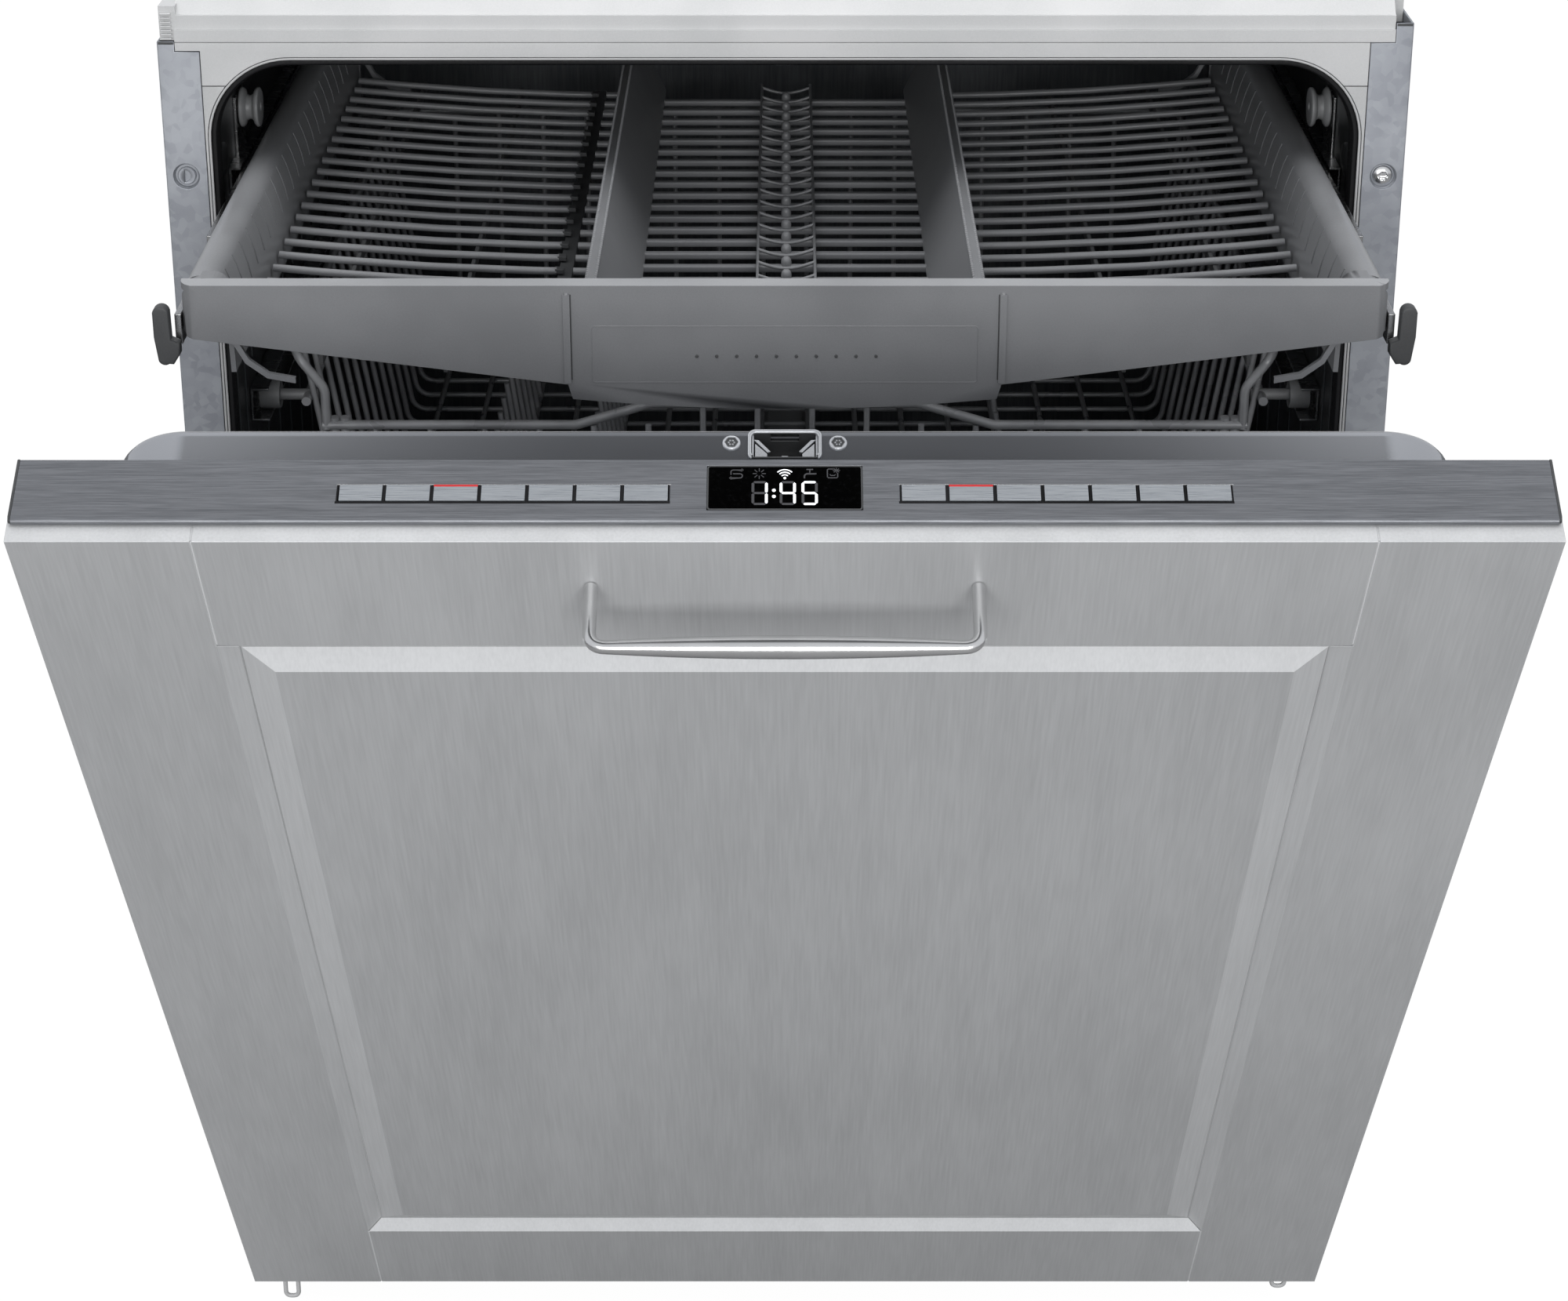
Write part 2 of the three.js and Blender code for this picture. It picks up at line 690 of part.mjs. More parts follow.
// A spray arm: a bladed outline with a swollen hub, bored for its shaft.
function sprayArm(reach, footZ) {
  const blade = new THREE.Shape();
  const hub = 24;
  const root = 17;
  const tip = 11;
  blade.moveTo(-reach + tip, -tip);
  blade.quadraticCurveTo(-reach / 2, -root - 3, -hub, -root);
  blade.quadraticCurveTo(0, -hub - 8, hub, -root);
  blade.quadraticCurveTo(reach / 2, -tip + 1, reach - tip, -tip);
  blade.absarc(reach - tip, 0, tip, -Math.PI / 2, Math.PI / 2);
  blade.quadraticCurveTo(reach / 2, root + 3, hub, root);
  blade.quadraticCurveTo(0, hub + 8, -hub, root);
  blade.quadraticCurveTo(-reach / 2, tip - 1, -reach + tip, tip);
  blade.absarc(-reach + tip, 0, tip, Math.PI / 2, 1.5 * Math.PI);
  const body = prismZ(blade, footZ, footZ + armThickness, 4).translate([0, sprayHubY, 0]);
  return cut(body, rod(armBore, armThickness + 4, 'z', [0, sprayHubY, footZ - 2], 12));
}

function waterDuct() {
  const back = tubDepth - seatGap;
  const duct = prismZ(roundedRectangle(-17, 17, basinBack + 0.6, back, 4),
    openingBottom + seatGap, upperFloor + 10, 3);
  const foot = prismZ(roundedRectangle(-26, 26, basinBack + 0.6, back, 4),
    openingBottom + seatGap, openingBottom + 40, 3);
  return join(duct, foot);
}

// ---------------------------------------------------------------------------------------------
// Door, drawn closed
// ---------------------------------------------------------------------------------------------

const fasciaTop = panelTop + fasciaRise;
const keyGroupEnd = keyGroupStart + keysPerGroup * keyPitch;
const keyHousingWall = 0.9;
const fieldInsideX = halfWidth - stileWidth;
const fieldTop = panelTop - railTopHeight;
const fieldBottom = panelBottom + railBottomHeight;

// The opening of the board frame, narrowed by the sticking, as a ring of four points.
function fieldRing(inset, e) {
  const x = fieldInsideX - inset;
  const low = fieldBottom + inset;
  const high = fieldTop - inset;
  const y = fromPanel(e);
  return [[-x, low], [-x, high], [x, high], [x, low]].map(([u, v]) => new THREE.Vector3(u, y, v));
}

const stickingCut = loft([
  fieldRing(-stickingWidth * 0.02, -stickingDepth * 0.02),
  fieldRing(stickingWidth, stickingDepth),
  fieldRing(stickingWidth, panelThickness + 1),
]);

function stile() {
  const joint = boardJoint / 2;
  const inner = fieldInsideX - stickingWidth;
  const outline = polygon([
    [halfWidth, panelBottom], [halfWidth, panelTop], [fieldInsideX + joint, panelTop],
    [fieldInsideX + joint, fieldTop - joint],
    [inner, fieldTop - stickingWidth - 2 * joint],
    [inner, fieldBottom + stickingWidth + 2 * joint],
    [fieldInsideX + joint, fieldBottom + joint], [fieldInsideX + joint, panelBottom],
  ]);
  return cut(prismY(outline, fromPanel(0), fromPanel(panelThickness)), stickingCut);
}

// A rail lies between the stiles; seam is its edge at the field and edge is the panel's edge.
function rail(edge, seam) {
  const joint = boardJoint / 2;
  const inward = Math.sign(seam - edge);
  const outline = polygon([
    [-fieldInsideX + joint, edge], [fieldInsideX - joint, edge], [fieldInsideX - joint, seam],
    [fieldInsideX - joint - stickingWidth, seam + inward * stickingWidth],
    [-fieldInsideX + joint + stickingWidth, seam + inward * stickingWidth],
    [-fieldInsideX + joint, seam],
  ]);
  return cut(prismY(outline, fromPanel(0), fromPanel(panelThickness)), stickingCut);
}

function fieldPanel() {
  return loft([
    fieldRing(stickingWidth + seatGap + fieldBevel, stickingDepth - fieldRise),
    fieldRing(stickingWidth + seatGap, stickingDepth),
    fieldRing(stickingWidth + seatGap, panelThickness),
  ]);
}

function doorFrame() {
  const front = fromPanel(frameFront);
  const back = front + frameDepth;
  const top = fasciaTop - fasciaHeight - seatGap;
  const shell = cut(
    box(-frameHalfWidth, frameHalfWidth, front, back, frameBottom, top),
    box(-frameHalfWidth + frameWall, frameHalfWidth - frameWall, front + frameWall, back + 1,
      frameBottom + frameWall, top - frameWall));
  const bosses = [-1, 1].map((side) => rod(hingeBossRadius, hingePinLength, 'x',
    [side > 0 ? frameHalfWidth - hingePinLength : -frameHalfWidth, pivotY, pivotZ], 14));
  const bores = [-1, 1].map((side) => rod(hingePinRadius + hingeClearance, hingePinLength + 4, 'x',
    [side > 0 ? frameHalfWidth - hingePinLength - 2 : -frameHalfWidth - 2, pivotY, pivotZ], 14));
  return cut(join(shell, bosses), bores);
}

function pan(inset) {
  const ring = (shrink, e) => ringXZ(panHalfWidth - inset - shrink, panBottom + inset + shrink,
    panTop - inset - shrink, panRadius - inset, fromPanel(e), 5);
  return loft([
    ring(0, linerFront - inset / 2),
    ring(panDraft / 2, panRise - 1.5 - inset),
    ring(panDraft / 2 + 1.5, panRise - inset),
  ]);
}

function doorLiner() {
  const front = fromPanel(linerFront);
  const flange = box(-frameHalfWidth, frameHalfWidth, front, front + linerSheet,
    frameBottom, fasciaTop - 8);
  const latchHole = box(-latchHalfWidth - seatGap, latchHalfWidth + seatGap,
    fromPanel(latchNear) - seatGap, fromPanel(latchFar) + seatGap, panTop - 4, panTop + 4);
  const dispenserHole = box(dispenserLeft - seatGap, dispenserRight + seatGap,
    fromPanel(panRise) - 4, fromPanel(panRise) + 4,
    dispenserFoot - seatGap, dispenserHead + seatGap);
  return cut(join(flange, pan(0)), pan(linerSheet), latchHole, dispenserHole,
    strikerEntry(panTop + bezelProud));
}

// The box that holds the keys reaches forward under the lip, into a rebate in the top rail.
function keyHousing(clearance) {
  const halfLength = keyGroupEnd + keyHousingWall + clearance;
  return box(-halfLength, halfLength, fromPanel(keySlotNear) - keyHousingWall - clearance,
    fromPanel(frameFront) + 1, fasciaTop - keyPocketDepth - keyHousingWall - clearance,
    panelTop + 1);
}

function controlFascia() {
  const near = fromPanel(fasciaNear);
  const far = fromPanel(fasciaFar);
  const underLip = panelTop + seatGap;
  const profile = new THREE.Shape();
  profile.moveTo(fromPanel(frameFront), fasciaTop - fasciaHeight);
  profile.lineTo(far, fasciaTop - fasciaHeight);
  profile.lineTo(far, fasciaTop - 0.8);
  profile.lineTo(far - 0.8, fasciaTop);
  profile.lineTo(near + fasciaLip, fasciaTop);
  profile.quadraticCurveTo(near, fasciaTop, near, underLip + 0.4);
  profile.lineTo(near + 0.6, underLip);
  profile.lineTo(fromPanel(frameFront), underLip);
  const body = prismX(profile, -fasciaHalfWidth, fasciaHalfWidth, 4);
  const slots = [[keyGroupStart, keyGroupEnd], [-keyGroupEnd, -keyGroupStart]].map(([x0, x1]) =>
    box(x0, x1, fromPanel(keySlotNear), fromPanel(keySlotFar),
      fasciaTop - keyPocketDepth, fasciaTop + 1));
  const displayRoom = box(-displayHalfWidth - seatGap, displayHalfWidth + seatGap,
    fromPanel(displayNear) - seatGap, fromPanel(displayFar) + seatGap,
    fasciaTop - displayThickness - seatGap, fasciaTop + 1);
  return cut(join(body, keyHousing(0)), slots, displayRoom);
}

function displayWindow() {
  return box(-displayHalfWidth, displayHalfWidth, fromPanel(displayNear), fromPanel(displayFar),
    fasciaTop - displayThickness, fasciaTop);
}

function key(x0) {
  const y0 = fromPanel(keySlotNear) + keyClearance;
  const y1 = fromPanel(keySlotFar) - keyClearance;
  const top = fasciaTop + keyProud;
  const profile = polygon([
    [y0, top - keyHeight], [y1, top - keyHeight], [y1, top - 0.7],
    [y1 - 0.7, top], [y0 + 0.7, top], [y0, top - 0.7],
  ]);
  return prismX(profile, x0 + keyGap / 2, x0 + keyPitch - keyGap / 2);
}

// The way in for the striker through the rear of the latch and of the liner.
function strikerEntry(top) {
  const half = strikerHalfWidth + strikerPassage;
  return box(-half, half, fromPanel(latchFar) - 3, fromPanel(panRise) + 3,
    top - strikerNotch, top + 5);
}

// A chromed bezel with a tapering mouth that the striker moves into.
function doorLatch() {
  const y0 = fromPanel(latchNear);
  const y1 = fromPanel(latchFar);
  const top = panTop + bezelProud;
  const body = box(-latchHalfWidth, latchHalfWidth, y0, y1, top - latchDepth, top);
  const rim = prismZ(roundedRectangle(-latchHalfWidth - bezelRim, latchHalfWidth + bezelRim,
    y0 - bezelRim, y1 + 0.6, 3), panTop + seatGap, top, 3);
  const mouth = polygon([
    [-latchHalfWidth + 2.5, top + 1], [-latchHalfWidth + 2.5, top - 1.5],
    [-strikerHalfWidth - 1.5, top - 6], [-strikerHalfWidth - 1.5, top - latchDepth + 3],
    [strikerHalfWidth + 1.5, top - latchDepth + 3], [strikerHalfWidth + 1.5, top - 6],
    [latchHalfWidth - 2.5, top - 1.5], [latchHalfWidth - 2.5, top + 1],
  ]);
  return cut(join(body, rim), prismY(mouth, y0 + 1.8, y1 - 1.8), strikerEntry(top));
}

// A bow handle: two bent posts and a bar that swells towards its middle.
function handle() {
  const start = fromPanel(0) - seatGap;
  const barY = start - handleReach + handleEndRadius;
  const plan = [
    [-handleHalfSpan, start, handleHeight], [-handleHalfSpan, barY, handleHeight],
    [handleHalfSpan, barY, handleHeight], [handleHalfSpan, start, handleHeight],
  ];
  const bends = bent(plan, handleBend, 4);
  const straight = [];
  for (let step = 1; step < 8; step += 1) {
    const x = (handleHalfSpan - handleBend) * (step / 4 - 1);
    straight.push(new THREE.Vector3(x, barY, handleHeight));
  }
  const half = bends.length / 2;
  const path = [...bends.slice(0, half), ...straight, ...bends.slice(half)];
  const course = new Polyline(path);
  const sides = 8;
  const rings = path.map((centre, i) => {
    const along = course.getTangentAt(i / (path.length - 1));
    const across = new THREE.Vector3(-along.y, along.x, 0);
    const swell = Math.max(0, 1 - (centre.x / (handleHalfSpan - handleBend)) ** 2);
    const onBar = centre.y === barY ? swell : 0;
    const radius = handleEndRadius + (handleMidRadius - handleEndRadius) * onBar;
    return Array.from({ length: sides }, (_, side) => {
      const turn = (side / sides) * 2 * Math.PI;
      return centre.clone()
        .addScaledVector(across, radius * Math.cos(turn))
        .add(new THREE.Vector3(0, 0, radius * Math.sin(turn)));
    });
  });
  return loft(rings);
}

function dispenserBody() {
  const face = fromPanel(panRise);
  const flange = prismY(roundedRectangle(dispenserLeft - 5, dispenserRight + 5,
    dispenserFoot - 5, dispenserHead + 5, 8), face + seatGap, face + 3.3, 4);
  const body = box(dispenserLeft, dispenserRight, face - 22, face + 1,
    dispenserFoot, dispenserHead);
  const cup = prismY(roundedRectangle(dispenserLeft + 8, lidRight - 8,
    dispenserFoot + 10, dispenserHead - 10, 12), face - 18, face + 5, 4);
  const rinseX = (lidRight + dispenserRight) / 2;
  const ring = cut(
    rod(19, 4, 'y', [rinseX, face + 2, dispenserHead - 26], 16),
    rod(15, 8, 'y', [rinseX, face + 3, dispenserHead - 26], 16));
  const tab = box(rinseX - 12, rinseX + 12, face + 2, face + 6.5,
    dispenserHead - 28, dispenserHead - 24);
  return join(cut(join(flange, body), cup), ring, tab);
}

function dispenserLid() {
  const face = fromPanel(panRise) + 3.3 + seatGap;
  const plate = prismY(roundedRectangle(dispenserLeft + 1, lidRight, dispenserFoot + 1,
    dispenserHead - 1, 10), face, face + 3, 4);
  const grip = box(dispenserLeft + 20, lidRight - 20, face + 2, face + 6,
    dispenserHead - 18, dispenserHead - 13);
  return join(plate, grip);
}

// ---------------------------------------------------------------------------------------------
// Top tray, drawn pushed home
// ---------------------------------------------------------------------------------------------

// Side wall: a broad round rim, a skirt outside and a hollow wall running down to the floor.
function traySide() {
  const outer = trayHalfWidth;
  const inner = trayHalfWidth - trayRimWidth;
  const r = trayRimRadius;
  const level = trayRim - r;
  const s = new THREE.Shape();
  const skirt = trayRim - traySkirtDrop;
  s.moveTo(outer, skirt);
  s.lineTo(outer, level);
  s.absarc(outer - r, level, r, 0, Math.PI / 2);
  s.absarc(inner + r, level, r, Math.PI / 2, Math.PI);
  s.quadraticCurveTo(inner - 3, trayFloorTop, trayFloorHalfWidth, trayFloorTop);
  s.lineTo(trayFloorHalfWidth, trayFloorTop - trayWall);
  s.quadraticCurveTo(inner - 1, trayFloorTop - trayWall, inner + trayWall, level);
  s.absarc(inner + r, level, r - trayWall, Math.PI, Math.PI / 2, true);
  s.absarc(outer - r, level, r - trayWall, Math.PI / 2, 0, true);
  s.lineTo(outer - trayWall, skirt);
  return prismY(s, trayHomeFront + 1, trayBack - 1, 4);
}

// A rib that follows the inner wall from the rim to the floor.
function traySideRib(y) {
  const inner = trayHalfWidth - trayRimWidth;
  const level = trayRim - trayRimRadius;
  const s = new THREE.Shape();
  s.moveTo(inner + 1, level);
  s.lineTo(inner - 1.2, level - 6);
  s.quadraticCurveTo(inner - 7, trayFloorTop + 4, trayFloorHalfWidth + 1, trayFloorTop + 2);
  s.lineTo(trayFloorHalfWidth, trayFloorTop - 1);
  s.quadraticCurveTo(inner - 2, trayFloorTop - 1, inner + 1, level);
  return prismY(s, y - 0.8, y + 0.8, 2);
}

// Front: shallow wings that deepen to two ribs, and a middle pull with a curved lower lip.
function trayFront() {
  const low = (drop) => trayRim - drop;
  const pullHalf = trayRibHalf - 2;
  const lipControl = 2 * low(trayPullDropMiddle) - low(trayPullDropSide);
  const s = new THREE.Shape();
  s.moveTo(-trayHalfWidth, trayRim);
  s.lineTo(-trayHalfWidth, low(trayWingDropOuter));
  s.quadraticCurveTo(-trayHalfWidth / 1.6, low(trayWingDropOuter + 12),
    -trayRibHalf, low(trayWingDropInner));
  s.lineTo(-pullHalf, low(trayPullDropSide));
  s.quadraticCurveTo(0, lipControl, pullHalf, low(trayPullDropSide));
  s.lineTo(trayRibHalf, low(trayWingDropInner));
  s.quadraticCurveTo(trayHalfWidth / 1.6, low(trayWingDropOuter + 12),
    trayHalfWidth, low(trayWingDropOuter));
  s.lineTo(trayHalfWidth, trayRim);
  const face = prismY(s, trayHomeFront, trayHomeFront + 3, 6);

  const lip = new THREE.Shape();
  lip.moveTo(-pullHalf, low(trayPullDropSide) + trayWall);
  lip.lineTo(-pullHalf, low(trayPullDropSide));
  lip.quadraticCurveTo(0, lipControl, pullHalf, low(trayPullDropSide));
  lip.lineTo(pullHalf, low(trayPullDropSide) + trayWall);
  lip.quadraticCurveTo(0, lipControl + trayWall, -pullHalf, low(trayPullDropSide) + trayWall);
  const grip = prismY(lip, trayHomeFront, trayHomeFront + 14, 6);

  const ribs = [-1, 1].map((side) => box(side * trayRibHalf - 1.5, side * trayRibHalf + 1.5,
    trayHomeFront - 1.2, trayHomeFront + 1, low(trayWingDropInner) + 1, trayRim - 4));
  const rim = box(-trayHalfWidth, trayHalfWidth, trayHomeFront, trayHomeFront + 10,
    trayRim - 3, trayRim);
  const wall = prismX(polygon([
    [trayHomeFront + 7, trayRim - 1], [trayHomeFront + 10, trayRim - 1],
    [trayHomeFront + 20, trayFloorTop], [trayHomeFront + 20, trayFloorTop - trayWall],
    [trayHomeFront + 17, trayFloorTop - trayWall],
  ]), -trayHalfWidth + 6, trayHalfWidth - 6);
  return join(face, grip, ribs, rim, wall);
}

function trayRear() {
  const wall = box(-trayHalfWidth + 4, trayHalfWidth - 4, trayBack - 8, trayBack - 5,
    trayFloorTop - trayWall, trayRim - 4);
  const rim = prismX(roundedRectangle(trayBack - 12, trayBack, trayRim - 9, trayRim, 4),
    -trayHalfWidth, trayHalfWidth, 3);
  return join(wall, rim);
}

function trayDivider(x) {
  const half = trayDividerWidth / 2;
  const slope = 2;
  const foot = trayFloorTop - 1;
  const top = trayRim - trayDividerDrop;
  return prismY(polygon([
    [x - half - slope, foot], [x - half, top - 2], [x - half + 2, top],
    [x + half - 2, top], [x + half, top - 2], [x + half + slope, foot],
    [x + half + slope - trayWall, foot], [x + half - trayWall, top - trayWall],
    [x - half + trayWall, top - trayWall], [x - half - slope + trayWall, foot],
  ]), trayHomeFront + 9, trayBack - 7);
}

function traySlotRows() {
  const first = trayHomeFront + 26;
  const last = trayBack - 14 - traySlotLength;
  const rows = [];
  for (let y = first; y <= last; y += traySlotPitch) rows.push(y);
  return rows;
}

function trayFloor() {
  const plate = box(-trayFloorHalfWidth - 1, trayFloorHalfWidth + 1, trayHomeFront + 16,
    trayBack - 6, trayFloorTop - trayWall, trayFloorTop);
  const half = trayDividerWidth / 2 + 4;
  const spans = [
    [-trayFloorHalfWidth + 3, trayDividerLeft - half],
    [trayDividerLeft + half, trayDividerRight - half],
    [trayDividerRight + half, trayFloorHalfWidth - 3],
  ];
  const slots = traySlotRows().flatMap((y) => spans.map(([x0, x1]) =>
    box(x0, x1, y, y + traySlotLength, trayFloorTop - trayWall - 1, trayFloorTop + 1)));
  const hollows = [trayDividerLeft, trayDividerRight].map((x) => box(
    x - trayDividerWidth / 2, x + trayDividerWidth / 2, trayHomeFront + 22, trayBack - 14,
    trayFloorTop - trayWall - 1, trayFloorTop + 1));
  return cut(plate, slots, hollows);
}

function topTray() {
  const side = traySide();
  const ribs = traySlotRows().filter((y, row) => row % 2 === 0)
    .map((y) => traySideRib(y + traySlotLength + 4));
  const plan = roundedRectangle(-trayHalfWidth, trayHalfWidth, trayHomeFront - 1.2, trayBack,
    trayCornerRadius);
  const bounds = prismZ(plan, trayFloorTop - 60, trayRim + 10, 5);
  const whole = join(side, mirrored(side), ribs, ribs.map(mirrored), trayFront(), trayRear(),
    trayDivider(trayDividerLeft), trayDivider(trayDividerRight), trayFloor());
  return whole.intersect(bounds);
}

// ---------------------------------------------------------------------------------------------
// Rails of the top tray, drawn pushed home, on the right
// ---------------------------------------------------------------------------------------------

const runnerInside = trayHalfWidth + seatGap;
const middleInside = runnerInside + railThickness + seatGap;
const channelInside = middleInside + railThickness + seatGap;
const channelOutside = openingHalfWidth - seatGap;

function trayChannel() {
  const half = railHeight / 2 + seatGap + sheetSteel;
  const web = box(channelOutside - sheetSteel, channelOutside, railFront, railBack,
    railMiddle - half, railMiddle + half);
  const lips = [-1, 1].map((side) => box(channelInside, channelOutside, railFront, railBack,
    railMiddle + side * (half - 0.6) - 0.6, railMiddle + side * (half - 0.6) + 0.6));
  const arm = box(channelOutside - sheetSteel, channelOutside, rollerY - 12, rollerY + 12,
    railMiddle, rollerZ + 8);
  const stud = rod(2, rollerLength + 0.5, 'x',
    [channelOutside - rollerLength - 1, rollerY, rollerZ], 10);
  return join(web, lips, arm, stud);
}

function trayMiddleBar() {
  return box(middleInside, middleInside + railThickness, railFront, railBack,
    railMiddle - railHeight / 2, railMiddle + railHeight / 2);
}

// The bar on the tray ends in a rounded stop beside the tray's front corner.
function trayRunner() {
  const bar = box(runnerInside, runnerInside + railThickness, trayHomeFront + 2,
    railBack, railMiddle - railHeight / 2, railMiddle + railHeight / 2);
  const tabOuter = openingHalfWidth - 2.2;
  const stop = prismY(roundedRectangle(runnerInside, tabOuter, railMiddle - tabHeight / 2,
    railMiddle + tabHeight / 2, 5), trayHomeFront - 3, trayHomeFront - 3 + tabDepth, 4);
  return join(bar, stop);
}

function guideRoller() {
  const profile = [
    [2.3, 0], [rollerRadius, 0], [rollerRadius, 1.5], [rollerWaist, 3.5],
    [rollerWaist, rollerLength - 3.5], [rollerRadius, rollerLength - 1.5],
    [rollerRadius, rollerLength], [2.3, rollerLength], [2.3, 0],
  ];
  const inside = channelOutside - sheetSteel - 0.4 - rollerLength;
  return turned(profile, 'x', [inside, rollerY, rollerZ], 12);
}

// ---------------------------------------------------------------------------------------------
// Wire racks, drawn pushed home
// ---------------------------------------------------------------------------------------------

const upperRailMiddle = upperRim - 35;
const upperRailHalf = 9;
const upperRailDepth = 9.6;
const upperRailFront = 60;
const upperRollerRadius = 7.5;

function upperRail() {
  const web = box(channelOutside - sheetSteel, channelOutside, upperRailFront, railBack,
    upperRailMiddle - upperRailHalf, upperRailMiddle + upperRailHalf);
  const lips = [-1, 1].map((side) => box(channelOutside - upperRailDepth, channelOutside,
    upperRailFront, railBack,
    upperRailMiddle + side * (upperRailHalf - 0.6) - 0.6,
    upperRailMiddle + side * (upperRailHalf - 0.6) + 0.6));
  return join(web, lips);
}

// Welded wire work shared by both racks: U-shaped wires across, wires from front to back that lie
// on them, and rows of tines that each stand on a wire of their own.
const acrossPlace = (front, back, number) =>
  front + 26 + (number / (wiresAcross - 1)) * (back - front - 52);

function wireBasket({ front, back, rim, frontRim, floor, halfWidth, footHalf, tines }) {
  const lift = 1.6 * wireRadius;
  const sole = 10;
  const wires = [];
  for (let number = 0; number < wiresAcross; number += 1) {
    const y = acrossPlace(front, back, number);
    wires.push(wire([
      [-halfWidth, y, rim], [-footHalf - 3, y, floor + 8], [-footHalf + 6, y, floor],
      [footHalf - 6, y, floor], [footHalf + 3, y, floor + 8], [halfWidth, y, rim],
    ]));
  }
  for (let number = 0; number < wiresAlong; number += 1) {
    const x = (number / (wiresAlong - 1) - 0.5) * 2 * (footHalf - 16);
    wires.push(wire([
      [x, front, frontRim(x)], [x, front + sole, floor + lift],
      [x, back - sole, floor + lift], [x, back, rim],
    ]));
  }
  for (const x of tines.rows) {
    wires.push(wire([[x, front + 18, floor + lift], [x, back - 18, floor + lift]]));
    for (let number = 0; number < tines.count; number += 1) {
      const y = front + 60 + number * tines.pitch;
      wires.push(wire([[x, y, floor + lift], [x + tines.lean, y, floor + tines.height]]));
    }
  }
  return wires;
}

function upperRack() {
  const front = upperFront;
  const back = upperBack;
  const wide = upperHalfWidth;
  const narrow = wide - 15;
  const lowRim = upperRim - upperFrontDrop;
  const raised = lowRim + upperFrontStep;
  const parts = wireBasket({
    front,
    back,
    rim: upperRim,
    frontRim: (x) => (Math.abs(x) < stepInside ? raised : lowRim),
    floor: upperFloor,
    halfWidth: wide,
    footHalf: wide - 24,
    tines: { rows: [-150, -96, 125], count: 5, pitch: 68, height: 62.5, lean: -8 },
  });
  parts.push(wire(bent([
    [-narrow, front, lowRim - 2], [-narrow, front, upperRim - 20], [-wide, front, upperRim],
    [-wide, back, upperRim], [wide, back, upperRim], [wide, front, upperRim],
    [narrow, front, upperRim - 20], [narrow, front, lowRim - 2],
  ], 8, 2), frameWireRadius, frameSides));
  parts.push(wire(bent([
    [-narrow - 2, front, lowRim], [-stepOutside, front, lowRim], [-stepInside, front, raised],
    [stepInside, front, raised], [stepOutside, front, lowRim], [narrow + 2, front, lowRim],
  ], 6, 2), frameWireRadius, frameSides));
  const axleInside = wide - 3;
  const axleLength = channelOutside - sheetSteel - 1 - axleInside;
  for (const side of [-1, 1]) {
    for (const y of [front + 31, back - 60]) {
      const x0 = side > 0 ? axleInside : -axleInside - axleLength;
      parts.push(rod(upperRollerRadius, axleLength, 'x', [x0, y, upperRailMiddle], 12));
    }
    parts.push(wire([
      [side * (wide - 2), front + 20, upperRailMiddle],
      [side * (wide - 2), back - 30, upperRailMiddle],
    ], frameWireRadius, frameSides));
  }
  const hubTop = upperArmFoot + armThickness + seatGap;
  parts.push(box(-13, 13, sprayHubY - 16, basinBack + 0.3, upperFloor - 13, upperFloor - 1));
  parts.push(rod(14, upperFloor - 6 - hubTop, 'z', [0, sprayHubY, hubTop], 14));
  parts.push(rod(armBore - seatGap, armThickness + 5, 'z', [0, sprayHubY, upperArmFoot - 4], 12));
  parts.push(rod(9, 3.7, 'z', [0, sprayHubY, upperArmFoot - 4], 12));
  return join(parts);
}

function lowerRack() {
  const front = lowerFront;
  const back = lowerBack;
  const wide = lowerHalfWidth;
  const footHalf = wide - 22;
  const frontRim = lowerRim - 14;
  const parts = wireBasket({
    front,
    back,
    rim: lowerRim,
    frontRim: () => frontRim,
    floor: lowerFloor,
    halfWidth: wide,
    footHalf,
    tines: { rows: [-150, -20, 120], count: 5, pitch: 74, height: 84, lean: 6 },
  });
  parts.push(wire(bent([
    [-wide, front, frontRim - 2], [-wide, front, lowerRim], [-wide, back, lowerRim],
    [wide, back, lowerRim], [wide, front, lowerRim], [wide, front, frontRim - 2],
  ], 9, 2), frameWireRadius, frameSides));
  parts.push(wire([[-wide - 2, front, frontRim], [wide + 2, front, frontRim]],
    frameWireRadius, frameSides));
  const axleZ = openingBottom + seatGap + wheelRadius;
  const wheelInside = basinHalfWidth + wheelShelf;
  for (const side of [-1, 1]) {
    for (const number of [1, wiresAcross - 2]) {
      const y = acrossPlace(front, back, number);
      const x0 = side > 0 ? wheelInside : -wheelInside - wheelWidth;
      parts.push(rod(wheelRadius, wheelWidth, 'x', [x0, y, axleZ], 14));
      const axle = side > 0 ? footHalf - 2 : -wheelInside - 2;
      parts.push(rod(4, wheelInside + 4 - footHalf, 'x', [axle, y, axleZ], 8));
      parts.push(box(side * footHalf - 3, side * footHalf + 3, y - 4, y + 4,
        axleZ - 5, lowerFloor + 8));
    }
  }
  return join(parts);
}

// ---------------------------------------------------------------------------------------------
// Assembly
// ---------------------------------------------------------------------------------------------

